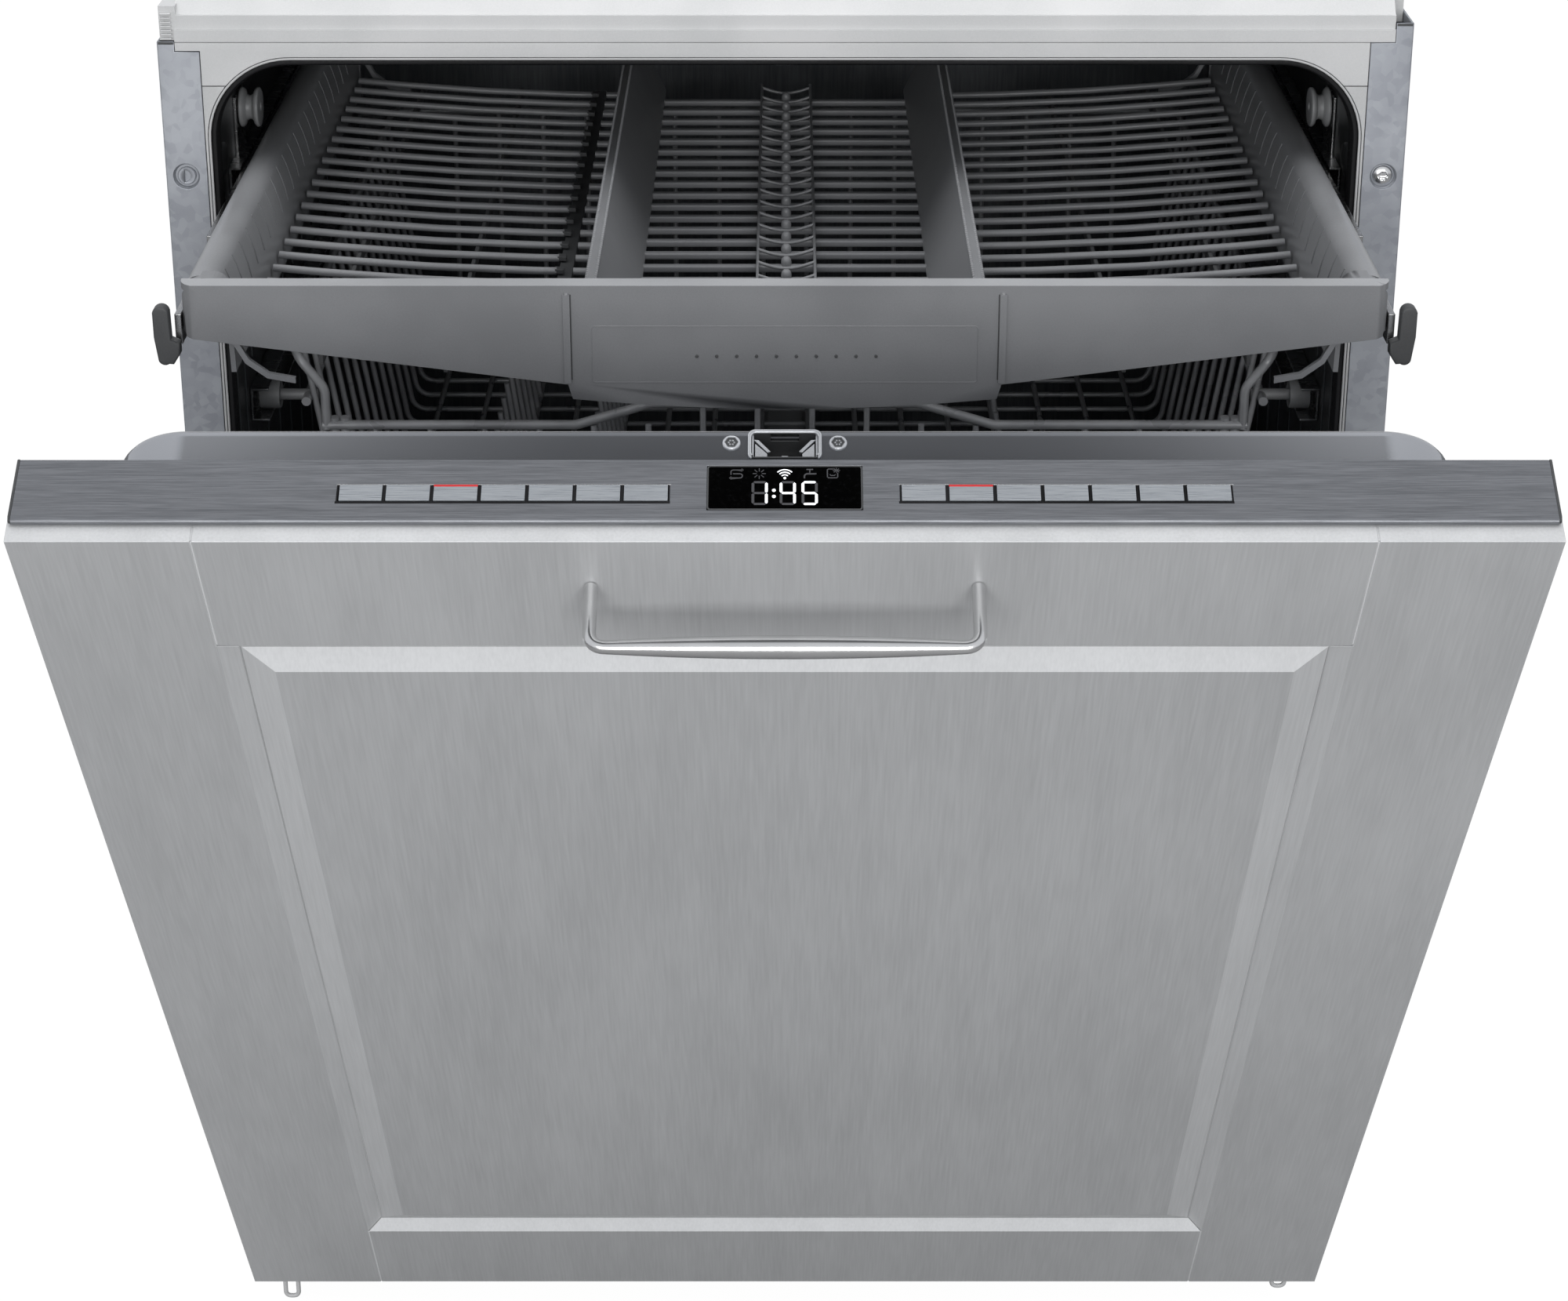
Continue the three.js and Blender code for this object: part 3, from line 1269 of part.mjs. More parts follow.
const body = new THREE.Group();
body.add(
  named('base_tray', baseTray(), darkPlastic),
  named('toe_plate', toePlate(), whitePlastic),
  named('side_panel_left', leftSidePanel(), galvanised),
  named('side_panel_right', sidePanel(bodyHeight - rightPillarDrop), galvanised),
  named('tub', tub(), tubSteel),
  named('tub_seal', tubSeal(), blackRubber),
  named('front_frame', frontFrame(), whitePlastic),
  named('top_cover', topCover(), whitePlastic),
  named('door_striker', doorStriker(), galvanised),
  named('hinge_bracket_left', mirrored(hingeBracket()), galvanised),
  named('hinge_bracket_right', hingeBracket(), galvanised),
  named('tray_rail_left', mirrored(trayChannel()), chrome),
  named('tray_rail_right', trayChannel(), chrome),
  named('guide_roller_left', mirrored(guideRoller()), wireGrey),
  named('guide_roller_right', guideRoller(), wireGrey),
  named('upper_rail_left', mirrored(upperRail()), chrome),
  named('upper_rail_right', upperRail(), chrome),
  named('water_duct', waterDuct(), wireGrey),
  named('sump_pump', sumpAndPump(), darkPlastic),
  named('filter_cylinder', filterCylinder(), wireGrey),
  named('lower_spray_arm', sprayArm(lowerArmReach, lowerArmFoot), wireGrey),
  ...footPlaces.map(([place, x, y]) => named(`foot_${place}`, foot(x, y), darkPlastic)),
);

const upper = new THREE.Group();
upper.add(
  named('upper_rack', upperRack(), wireGrey),
  named('upper_spray_arm', sprayArm(upperArmReach, upperArmFoot), wireGrey),
);

const lower = new THREE.Group();
lower.add(named('lower_rack', lowerRack(), wireGrey));

const tray = new THREE.Group();
tray.position.y = -trayPulledOut;
tray.add(
  named('top_tray', topTray(), trayGrey),
  named('tray_runner_left', mirrored(trayRunner()), darkPlastic),
  named('tray_runner_right', trayRunner(), darkPlastic),
);

const trayMiddle = new THREE.Group();
trayMiddle.position.y = -trayPulledOut / 2;
trayMiddle.add(
  named('tray_slide_left', mirrored(trayMiddleBar()), chrome),
  named('tray_slide_right', trayMiddleBar(), chrome),
);

const door = new THREE.Group();
door.position.set(0, -pivotY, -pivotZ);
door.add(
  named('panel_stile_left', mirrored(stile()), panelSteel),
  named('panel_stile_right', stile(), panelSteel),
  named('panel_rail_top', cut(rail(panelTop, fieldTop), keyHousing(seatGap)), panelSteel),
  named('panel_rail_bottom', rail(panelBottom, fieldBottom), panelSteel),
  named('panel_field', fieldPanel(), panelSteel),
  named('door_frame', doorFrame(), galvanised),
  named('door_liner', doorLiner(), tubSteel),
  named('control_fascia', controlFascia(), brushedSteel),
  named('display_window', displayWindow(), blackGlass),
  named('door_latch', doorLatch(), chrome),
  named('handle', handle(), chrome),
  named('dispenser_body', dispenserBody(), wireGrey),
  named('dispenser_lid', dispenserLid(), wireGrey),
);
for (let number = 1; number <= keysPerGroup; number += 1) {
  const rightStart = keyGroupStart + (number - 1) * keyPitch;
  const leftStart = -keyGroupStart - (keysPerGroup - number + 1) * keyPitch;
  door.add(named(`key_left_${number}`, key(leftStart), keySilver));
  door.add(named(`key_right_${number}`, key(rightStart), keySilver));
}

const doorHinge = new THREE.Group();
doorHinge.position.set(0, pivotY, pivotZ);
doorHinge.rotation.x = THREE.MathUtils.degToRad(doorRestDegrees);
doorHinge.add(door);

const dishwasher = new THREE.Group();
dishwasher.add(body, upper, lower, tray, trayMiddle, doorHinge);

// The origin lies on the floor, in the middle of the bounding box.
const bounds = new THREE.Box3().setFromObject(dishwasher, true);
const centre = bounds.getCenter(new THREE.Vector3());
dishwasher.position.set(-centre.x, -centre.y, -bounds.min.z);
dishwasher.updateMatrixWorld(true);

export default dishwasher;
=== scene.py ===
"""Built-in dishwasher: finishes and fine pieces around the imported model.

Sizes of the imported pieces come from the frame. Sizes written here are in millimetres, in the
body's own frame: x from the middle plane, y back from the body's front plane, z up from the floor.
Pieces of the door are drawn with the door closed and then turned to the angle it rests at.
"""

import json
import math

import bmesh
import bpy
from mathutils import Matrix, Vector


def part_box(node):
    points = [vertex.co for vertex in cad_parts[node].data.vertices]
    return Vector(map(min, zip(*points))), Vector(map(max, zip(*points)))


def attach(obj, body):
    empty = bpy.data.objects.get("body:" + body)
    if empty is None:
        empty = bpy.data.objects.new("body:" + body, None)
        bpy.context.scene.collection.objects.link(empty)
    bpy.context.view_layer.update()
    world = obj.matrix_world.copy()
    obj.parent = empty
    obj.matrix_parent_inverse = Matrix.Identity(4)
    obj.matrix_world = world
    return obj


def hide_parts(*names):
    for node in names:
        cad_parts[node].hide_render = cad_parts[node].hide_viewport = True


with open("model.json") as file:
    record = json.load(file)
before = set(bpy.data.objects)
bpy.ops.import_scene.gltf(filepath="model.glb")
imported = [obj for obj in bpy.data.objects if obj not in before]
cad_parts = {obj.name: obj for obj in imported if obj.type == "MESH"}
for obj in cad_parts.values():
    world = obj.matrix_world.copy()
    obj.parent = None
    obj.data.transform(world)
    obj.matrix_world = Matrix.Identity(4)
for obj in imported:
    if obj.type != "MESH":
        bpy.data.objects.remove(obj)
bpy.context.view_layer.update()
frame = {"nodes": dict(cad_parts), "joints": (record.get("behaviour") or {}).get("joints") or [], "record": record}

MM = 0.001
TAU = 2 * math.pi

# ----------------------------------------
# Places
# ----------------------------------------

DOOR_JOINT = next(joint for joint in frame["joints"] if joint["name"] == "door_hinge")
DOOR_PIVOT = Vector(DOOR_JOINT["pos_m"])
DOOR_REST = math.radians(-DOOR_JOINT["range_deg"][0])
PIVOT_PLACE = Vector((0, -15.8, 179))     # the same point in the body's own frame
PANEL_FACE = -39.5                        # the closed door's panel face
TRAY_PULLED_OUT = -206

CLOSED_TO_REST = (
    Matrix.Translation(DOOR_PIVOT)
    @ Matrix.Rotation(DOOR_REST, 4, "X")
    @ Matrix.Translation(-DOOR_PIVOT)
)


def body(x, y, z):
    """A point of the body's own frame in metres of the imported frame."""
    return DOOR_PIVOT + (Vector((x, y, z)) - PIVOT_PLACE) * MM


def door(x, e, z):
    """A point of the closed door, e back from the panel face, turned to the resting door."""
    return CLOSED_TO_REST @ body(x, PANEL_FACE + e, z)


def tray(x, y, z):
    """A point of the top tray, given as it lies pushed home."""
    return body(x, y + TRAY_PULLED_OUT, z)


# ----------------------------------------
# Node graphs written as expressions
# ----------------------------------------


class Value:
    """A socket in an expression: every operator on it adds a Math node."""

    def __init__(self, graph, socket):
        self.graph = graph
        self.socket = socket

    def math(self, operation, *terms):
        return self.graph.node("ShaderNodeMath", {"operation": operation}, list(terms))["Value"]

    def __add__(self, other):
        return self.math("ADD", self, other)

    def __mul__(self, other):
        return self.math("MULTIPLY", self, other)

    def __pow__(self, other):
        return self.math("POWER", self, other)

    def __radd__(self, other):
        return self.math("ADD", other, self)

    def __rmul__(self, other):
        return self.math("MULTIPLY", other, self)

    def fade(self, low, high, start=0.0, end=1.0):
        """Goes smoothly from start to end while the value goes from low to high."""
        node = self.graph.node(
            "ShaderNodeMapRange",
            {"interpolation_type": "SMOOTHSTEP"},
            {"Value": self, "From Min": low, "From Max": high, "To Min": start, "To Max": end},
        )
        return node["Result"]


class Node:
    def __init__(self, graph, node):
        self.graph = graph
        self.node = node

    def __getitem__(self, output):
        return Value(self.graph, self.node.outputs[output])


class Graph:
    """A node tree, either of a material or of Geometry Nodes."""

    def __init__(self, tree):
        self.tree = tree

    def plug(self, socket, value):
        if isinstance(value, Value):
            self.tree.links.new(value.socket, socket)
        else:
            socket.default_value = value

    def node(self, kind, settings=None, inputs=None):
        """Adds a node: its settings first, then the values or links of its sockets."""
        node = self.tree.nodes.new(kind)
        for name, value in (settings or {}).items():
            setattr(node, name, value)
        items = enumerate(inputs) if isinstance(inputs, list) else (inputs or {}).items()
        for key, value in items:
            self.plug(node.inputs[key], value)
        return Node(self, node)


def linear(level):
    """A display level from 0 to 255 as a linear value."""
    share = level / 255
    return share / 12.92 if share <= 0.04045 else ((share + 0.055) / 1.055) ** 2.4


def rgb(red, green=None, blue=None):
    """A display colour, or a grey from one level, as a linear colour."""
    green = red if green is None else green
    blue = red if blue is None else blue
    return (linear(red), linear(green), linear(blue))


class Finish(Graph):
    """A material: constants go on the shader's own sockets, what varies is fed by feed."""

    def __init__(self, name, colour, roughness=0.5, metallic=0.0, **constants):
        self.material = bpy.data.materials.new(name)
        self.material.use_nodes = True
        super().__init__(self.material.node_tree)
        self.tree.nodes.clear()
        output = self.tree.nodes.new("ShaderNodeOutputMaterial")
        self.shader = self.tree.nodes.new("ShaderNodeBsdfPrincipled")
        self.tree.links.new(self.shader.outputs["BSDF"], output.inputs["Surface"])
        self.shader.inputs["Base Color"].default_value = (*colour, 1)
        self.shader.inputs["Roughness"].default_value = roughness
        self.shader.inputs["Metallic"].default_value = metallic
        for socket, value in constants.items():
            self.shader.inputs[socket.replace("_", " ")].default_value = value
        self.material.diffuse_color = (*colour, 1)
        self.object_place = self.node("ShaderNodeTexCoord")["Object"]

    def feed(self, socket, value):
        self.plug(self.shader.inputs[socket], value)

    def place(self, scale, rotation):
        """Object coordinates, turned and then stretched."""
        turned = self.node("ShaderNodeMapping", {"vector_type": "POINT"},
                           {"Vector": self.object_place, "Rotation": rotation})["Vector"]
        return self.node("ShaderNodeMapping", {"vector_type": "POINT"},
                         {"Vector": turned, "Scale": scale})["Vector"]

    def noise(self, scale, detail=2.0, roughness=0.5, stretch=None, rotation=(0, 0, 0)):
        """Noise over the object, drawn out along the axes where stretch is under 1."""
        vector = self.object_place if stretch is None else self.place(stretch, rotation)
        return self.node("ShaderNodeTexNoise", {"noise_dimensions": "3D"}, {
            "Vector": vector, "Scale": scale, "Detail": detail, "Roughness": roughness,
        })["Fac"]

    def blend(self, factor, first, second):
        """Mixes two colours by a value."""
        node = self.tree.nodes.new("ShaderNodeMix")
        node.data_type = "RGBA"
        sockets = {s.identifier: s for s in node.inputs}
        self.plug(sockets["Factor_Float"], factor)
        for key, colour in (("A_Color", first), ("B_Color", second)):
            self.plug(sockets[key], (*colour, 1))
        result = next(s for s in node.outputs if s.identifier == "Result_Color")
        return Value(self, result)

    def colour(self, factor, low, high):
        """The base colour, between two colours given in display levels."""
        self.feed("Base Color", self.blend(factor, rgb(*low), rgb(*high)))

    def bump(self, height, distance, strength):
        bump = self.node("ShaderNodeBump", None, {
            "Height": height, "Distance": distance, "Strength": strength,
        })
        self.feed("Normal", bump["Normal"])


# ----------------------------------------
# Finishes
# ----------------------------------------

UP_THE_DOOR = (-DOOR_REST, 0, 0)   # turns object coordinates so that z runs up the door


def panel_finish(name="panel_facing", low=174, high=192):
    """Light metallic facing with a fine upright grain and soft mottling."""
    made = Finish(name, rgb(high), 0.45, 0.18)
    fine = made.noise(900, 2, 0.5, (1, 1, 0.035), UP_THE_DOOR)
    streak = made.noise(70, 4, 0.6, (1, 1, 0.12), UP_THE_DOOR)
    cloud = made.noise(9, 3, 0.55, (1, 1, 0.5), UP_THE_DOOR)
    tone = fine * 0.5 + streak * 0.3 + cloud * 0.5
    level = tone.fade(0.35, 0.95)
    made.colour(level, (low, low + 1, low + 2), (high, high + 1, high + 2))
    made.feed("Roughness", streak.fade(0.3, 0.7, 0.4, 0.47))
    made.bump(fine * 0.8 + streak * 0.4, 0.00009, 0.3)
    return made.material


def fascia_finish():
    """Dark steel brushed from side to side."""
    made = Finish("fascia_brushed_steel", rgb(116, 118, 122), 0.36, 0.6)
    fine = made.noise(2400, 3, 0.7, (0.02, 1, 1))
    broad = made.noise(420, 3, 0.6, (0.03, 1, 1))
    tone = fine * 0.85 + broad * 0.15
    made.colour(tone.fade(0.3, 0.7), (102, 104, 108), (128, 130, 134))
    made.feed("Roughness", broad.fade(0.3, 0.7, 0.32, 0.44))
    made.bump(fine, 0.00006, 0.4)
    return made.material


def liner_finish():
    """Smooth stainless sheet with a faint side to side grain, and a painted highlight that lightens it towards
    both sides.
    """
    made = Finish("inner_door_steel", rgb(142, 144, 148), 0.24, 0.85)
    fine = made.noise(1500, 2, 0.6, (0.03, 1, 1))
    smear = made.noise(12, 3, 0.5, (0.6, 1, 1))
    tone = fine * 0.4 + smear * 0.6
    x = made.node("ShaderNodeSeparateXYZ", None, [made.object_place])["X"]
    # painted highlight: lighter towards both sides of the door, where the pan's rounded corners catch the light
    end = (x * x).fade(0.002, 0.06, 0, 0.85)     # lighter towards both sides of the door
    made.colour(end + tone * 0.15, (122, 124, 128), (186, 188, 192))
    made.feed("Roughness", smear.fade(0.35, 0.65, 0.12, 0.17))
    made.bump(fine, 0.00002, 0.15)
    return made.material


def tub_finish():
    """Stainless tub: a fine upright grain, cloudy with water marks."""
    made = Finish("tub_steel", rgb(92, 94, 96), 0.34, 0.9)
    grain = made.noise(700, 2, 0.6, (1, 1, 0.05))
    cloud = made.noise(14, 4, 0.6)
    tone = grain * 0.4 + cloud * 0.6
    made.colour(tone.fade(0.3, 0.75), (80, 82, 84), (108, 110, 112))
    made.feed("Roughness", cloud.fade(0.3, 0.7, 0.28, 0.42))
    made.bump(grain, 0.00005, 0.3)
    return made.material


def galvanised_finish():
    """Zinc-coated sheet: small spangles, cool grey."""
    made = Finish("galvanised_sheet", rgb(158, 161, 167), 0.45, 0.55)
    warp = made.noise(60, 2)
    cells = made.node("ShaderNodeTexVoronoi", {"feature": "F1"},
                      {"Vector": made.object_place, "Scale": 260.0, "Randomness": 1.0})
    spangle = made.node("ShaderNodeSeparateXYZ", None, [cells["Color"]])["X"]
    cloud = made.noise(7, 3, 0.6)
    tone = spangle * 0.2 + warp * 0.35 + cloud * 0.55
    made.colour(tone.fade(0.25, 0.85), (140, 143, 150), (168, 171, 176))
    made.feed("Roughness", spangle.fade(0, 1, 0.38, 0.55))
    made.bump(warp + spangle * 0.3, 0.00005, 0.25)
    return made.material


def moulded_finish(name, low, high, roughness, metallic=0.0, coat=0.0):
    """Moulded plastic: a fine spark-eroded grain over slow changes of tone."""
    made = Finish(name, rgb(*high), roughness, metallic, Coat_Weight=coat, Coat_Roughness=0.2)
    fine = made.noise(1400, 2, 0.6)
    slow = made.noise(16, 3, 0.55)
    made.colour((fine * 0.3 + slow * 0.7).fade(0.3, 0.7), low, high)
    made.feed("Roughness", slow.fade(0.3, 0.7, roughness - 0.04, roughness + 0.06))
    made.bump(fine, 0.00004, 0.5)
    return made.material


def wire_finish():
    """Plastic coating on wire, slightly uneven and glossy."""
    made = Finish("coated_wire", rgb(150, 151, 153), 0.3, 0.15,
                  Coat_Weight=0.3, Coat_Roughness=0.15)
    slow = made.noise(40, 3)
    fine = made.noise(600, 2)
    made.colour(slow.fade(0.3, 0.7), (138, 139, 141), (160, 161, 163))
    made.feed("Roughness", slow.fade(0.3, 0.7, 0.26, 0.38))
    made.bump(fine, 0.00003, 0.4)
    return made.material


def chrome_finish(name="polished_chrome", level=205, roughness=0.12):
    """Polished metal with faint rub marks."""
    made = Finish(name, rgb(level, level, level + 2), roughness, 1.0)
    marks = made.noise(260, 3, 0.6, (0.2, 1, 1))
    slow = made.noise(25, 3)
    made.colour(slow.fade(0.3, 0.7), (level - 8,), (level + 6,))
    made.feed("Roughness", marks.fade(0.3, 0.7, roughness - 0.01, roughness + 0.03))
    made.bump(marks, 0.000004, 0.1)
    return made.material


def rubber_finish():
    """Matt black rubber."""
    made = Finish("seal_rubber", rgb(26, 26, 27), 0.55, 0.0, Specular_IOR_Level=0.2)
    fine = made.noise(900, 2)
    slow = made.noise(20, 3)
    made.colour(slow.fade(0.3, 0.7), (12, 12, 13), (24, 24, 26))
    made.feed("Roughness", fine.fade(0.3, 0.7, 0.48, 0.64))
    made.bump(fine, 0.00004, 0.5)
    return made.material


def key_finish():
    """Satin silver key caps, brushed from side to side."""
    made = Finish("key_silver", rgb(160, 164, 169), 0.32, 0.35)
    fine = made.noise(3600, 2, 0.6, (0.02, 1, 1))
    made.colour(fine.fade(0.3, 0.7), (134, 138, 143), (152, 156, 160))
    made.feed("Roughness", fine.fade(0.3, 0.7, 0.26, 0.36))
    made.bump(fine, 0.00004, 0.4)
    return made.material


def glass_finish():
    """Black glass over the display, with a little dust."""
    made = Finish("display_gloss", rgb(6, 6, 7), 0.08, 0.0, Specular_IOR_Level=0.25,
                  Coat_Weight=0.4, Coat_Roughness=0.03)
    dust = made.noise(500, 3, 0.7)
    made.colour(dust.fade(0.5, 0.8), (0, 0, 0), (6, 6, 7))
    made.feed("Roughness", dust.fade(0.4, 0.8, 0.06, 0.16))
    return made.material


def lit_finish(name, colour, strength):
    """A lit mark behind the display."""
    made = Finish(name, colour, 0.4, 0.0)
    dots = made.noise(1500, 1)
    made.shader.inputs["Emission Strength"].default_value = strength
    dimmer = tuple(0.9 * part for part in colour)
    made.feed("Emission Color", made.blend(dots.fade(0.3, 0.7), dimmer, colour))
    return made.material


FINISHES = {
    "panel": panel_finish(),
    # Lighter copies of the panel facing: a painted highlight on slopes facing up, painted light on slopes facing
    # sideways.
    "panel_slope": panel_finish("panel_moulding", 216, 230),
    "panel_side": panel_finish("panel_moulding_side", 190, 206),
    "fascia": fascia_finish(),
    "liner": liner_finish(),
    "tub": tub_finish(),
    "galvanised": galvanised_finish(),
    "white": moulded_finish("white_moulding", (182, 183, 183), (194, 194, 194), 0.42),
    "frame_white": moulded_finish("front_frame_white", (170, 171, 171), (184, 184, 184), 0.45),
    "frame_head": moulded_finish("front_frame_head", (180, 181, 181), (192, 192, 192), 0.45),
    "tray": moulded_finish("tray_moulding", (106, 107, 109), (116, 117, 119), 0.4, coat=0.1),
    # A lighter copy of the tray moulding: painted light on the rims, slats, studs, webs and divider beads.
    "tray_light": moulded_finish("tray_edges", (114, 115, 117), (128, 129, 131), 0.36, coat=0.1),
    # A still lighter copy of the tray moulding: a painted highlight on the upward faces of the front rim.
    "tray_edge": moulded_finish("tray_front_edge", (134, 135, 137), (150, 151, 153), 0.34,
                                coat=0.1),
    # Dark plastic of real parts; also used as painted shade in the liner screws' sockets and the tray front's
    # grooves, and as the painted shadow under the fascia's lip.
    "dark": moulded_finish("dark_moulding", (52, 53, 54), (64, 65, 66), 0.5),
    "grey": moulded_finish("grey_moulding", (128, 129, 130), (144, 145, 146), 0.4),
    "wire": wire_finish(),
    "chrome": chrome_finish(),
    "rail": chrome_finish("rail_steel", 170, 0.25),
    # Bright metal of the screws, rivets and striker; the same finish also draws painted highlights along the key
    # row and the inner door's rim.
    "bright": chrome_finish("bright_edge", 225, 0.22),
    "latch": moulded_finish("latch_zinc", (150, 152, 155), (176, 178, 181), 0.24, 0.4),
    "latch_rim": moulded_finish("latch_chromed", (190, 192, 195), (214, 216, 219), 0.16, 0.6),
    "handle": chrome_finish("handle_polished", 228, 0.2),
    # Black rubber of the seal and the back mat; also used as painted shade in the gaps round the keys.
    "rubber": rubber_finish(),
    "key": key_finish(),
    "display": glass_finish(),
    "lit": lit_finish("lit_white", (0.8, 0.82, 0.85), 0.8),
    "unlit": lit_finish("unlit_grey", (0.032, 0.032, 0.035), 0.5),
    "red": lit_finish("lit_red", (0.36, 0.01, 0.012), 0.35),
}

# ----------------------------------------
# Shapes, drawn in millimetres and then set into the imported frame
# ----------------------------------------

# Where an outline's own u, v and w go. An outline lies in u and v, and w runs across it.
ALONG_X = Matrix(((0, 0, 1), (1, 0, 0), (0, 1, 0))).to_4x4()
ALONG_Y = Matrix(((1, 0, 0), (0, 0, -1), (0, 1, 0))).to_4x4()
ALONG_Z = Matrix.Identity(4)


def set_in(shape, place, axes=ALONG_Z, at=(0, 0, 0)):
    """Moves a shape from its own millimetres to a point of a place, in metres."""
    origin = place(0, 0, 0)
    columns = [place(*axis) - origin for axis in ((1, 0, 0), (0, 1, 0), (0, 0, 1))]
    matrix = Matrix(columns).transposed().to_4x4()
    matrix.translation = origin
    shape.transform(matrix @ Matrix.Translation(at) @ axes)
    return shape


def arc(u, v, radius, start, end, steps=12):
    """Points of an arc; start and end in degrees."""
    turns = [math.radians(start + (end - start) * k / steps) for k in range(steps + 1)]
    return [(u + radius * math.cos(t), v + radius * math.sin(t)) for t in turns]


def rounded(u0, u1, v0, v1, radius, lower=None, steps=14):
    """A rounded rectangle; lower is the radius of its two lower corners."""
    low = radius if lower is None else lower
    return (arc(u1 - low, v0 + low, low, -90, 0, steps)
            + arc(u1 - radius, v1 - radius, radius, 0, 90, steps)
            + arc(u0 + radius, v1 - radius, radius, 90, 180, steps)
            + arc(u0 + low, v0 + low, low, 180, 270, steps))


def circle(u, v, radius, steps=32):
    """Points of a circle."""
    return arc(u, v, radius, 0, 360, steps)[:-1]


def applied(holder):
    """The plain mesh of an object with its modifiers, or of a curve; the object goes."""
    if holder.name not in bpy.context.scene.collection.objects:
        bpy.context.scene.collection.objects.link(holder)
    bpy.context.view_layer.update()
    graph = bpy.context.evaluated_depsgraph_get()
    mesh = bpy.data.meshes.new_from_object(holder.evaluated_get(graph))
    bpy.data.objects.remove(holder)
    return mesh


def evened(mesh):
    """Shades a mesh smooth with its flat faces kept flat."""
    mesh.shade_smooth()
    mesh.set_sharp_from_angle(angle=math.radians(46))
    holder = bpy.data.objects.new("evened", mesh)
    weights = holder.modifiers.new("weights", "WEIGHTED_NORMAL")
    weights.keep_sharp = True
    return applied(holder)


def from_bmesh(bm, outward=True):
    """A mesh in metres, welded and with its faces outward."""
    bmesh.ops.remove_doubles(bm, verts=bm.verts, dist=2e-6)
    bmesh.ops.dissolve_degenerate(bm, edges=bm.edges, dist=1e-7)
    if outward:
        bmesh.ops.recalc_face_normals(bm, faces=bm.faces)
    mesh = bpy.data.meshes.new("shape")
    bm.to_mesh(mesh)
    bm.free()
    return evened(mesh)


def plate(outlines, low, high, place, axes, bevel=0.3, steps=2):
    """A flat piece with holes and rounded rims, from low to high across its outlines."""
    low, high = sorted((low, high))
    curve = bpy.data.curves.new("outline", "CURVE")
    curve.dimensions = "2D"
    curve.fill_mode = "BOTH"
    curve.extrude = (high - low) / 2 - bevel
    curve.bevel_depth = bevel
    curve.bevel_resolution = steps - 1
    curve.offset = -bevel
    for outline in outlines:
        spline = curve.splines.new("POLY")
        spline.points.add(len(outline) - 1)
        for point, (u, v) in zip(spline.points, outline):
            point.co = (u, v, 0, 1)
        spline.use_cyclic_u = True
    mesh = applied(bpy.data.objects.new("outline", curve))
    bm = bmesh.new()
    bm.from_mesh(mesh)
    bmesh.ops.remove_doubles(bm, verts=bm.verts, dist=1e-4)
    across = axes.to_3x3() @ Vector((0, 0, (low + high) / 2))
    return from_bmesh(set_in(bm, place, axes, across))


def skin(rings, place, closed=False, at=(0, 0, 0), axes=ALONG_Z):
    """A closed surface through rings of equal count; closed joins the last to the first."""
    bm = bmesh.new()
    rows = [[bm.verts.new(point) for point in ring] for ring in rings]
    for first, second in zip(rows, rows[1:] + rows[:1] if closed else rows[1:]):
        for side in range(len(first)):
            turn = (side + 1) % len(first)
            bm.faces.new((first[side], first[turn], second[turn], second[side]))
    if not closed:
        bm.faces.new(rows[0])
        bm.faces.new(rows[-1])
    bmesh.ops.remove_doubles(bm, verts=bm.verts, dist=1e-4)
    bmesh.ops.triangulate(bm, faces=[f for f in bm.faces if len(f.verts) > 4])
    return from_bmesh(set_in(bm, place, axes, at))


def turned(profile, place, axes, at, sides=32, stretch=1.0):
    """A solid of revolution round w; the profile holds (radius, w) pairs."""
    rings = []
    for radius, along in profile:
        points = circle(0, 0, max(radius, 1e-4), sides)
        rings.append([(u, v * stretch, along) for u, v in points])
    return skin(rings, place, at=at, axes=axes)


def tube(path, radii, place, sides=16, closed=False):
    """A round bar along a path, its section carried on without twist."""
    points = [Vector(p) for p in path]
    count = len(points)
    if not isinstance(radii, (list, tuple)):
        radii = [radii] * count
    rings = []
    normal = None
    for i, point in enumerate(points):
        before = points[i - 1] if i or closed else point
        after = points[(i + 1) % count] if i < count - 1 or closed else point
        along = (after - before).normalized()
        if normal is None:
            normal = along.orthogonal().normalized()
        normal = (normal - along * normal.dot(along)).normalized()
        across = along.cross(normal)
        turns = [TAU * k / sides for k in range(sides)]
        rings.append([point + (normal * math.cos(t) + across * math.sin(t)) * radii[i]
                      for t in turns])
    return skin(rings, place, closed)


def bent(points, radius, steps=6):
    """Rounds the inner corners of a path."""
    path = [Vector(p) for p in points]
    result = [path[0]]
    for before, corner, after in zip(path, path[1:], path[2:]):
        start = corner + (before - corner).normalized() * radius
        end = corner + (after - corner).normalized() * radius
        for k in range(steps + 1):
            t = k / steps
            result.append(start * (1 - t) ** 2 + corner * 2 * t * (1 - t) + end * t ** 2)
    return result + [path[-1]]


def carved(mesh, *cutters):
    """Takes other closed shapes out of a shape."""
    holder = bpy.data.objects.new("carved", mesh)
    tools = []
    for cutter in cutters:
        tool = bpy.data.objects.new("cutter", cutter)
        bpy.context.scene.collection.objects.link(tool)
        tools.append(tool)
        cut = holder.modifiers.new("cut", "BOOLEAN")
        cut.operation = "DIFFERENCE"
        cut.solver = "EXACT"
        cut.object = tool
    result = applied(holder)
    for tool in tools:
        bpy.data.objects.remove(tool)
    return evened(result)


def shifted(mesh, place, x, y, z):
    """Moves a finished shape by millimetres of a place's own frame."""
    mesh.transform(Matrix.Translation(place(x, y, z) - place(0, 0, 0)))
    return mesh


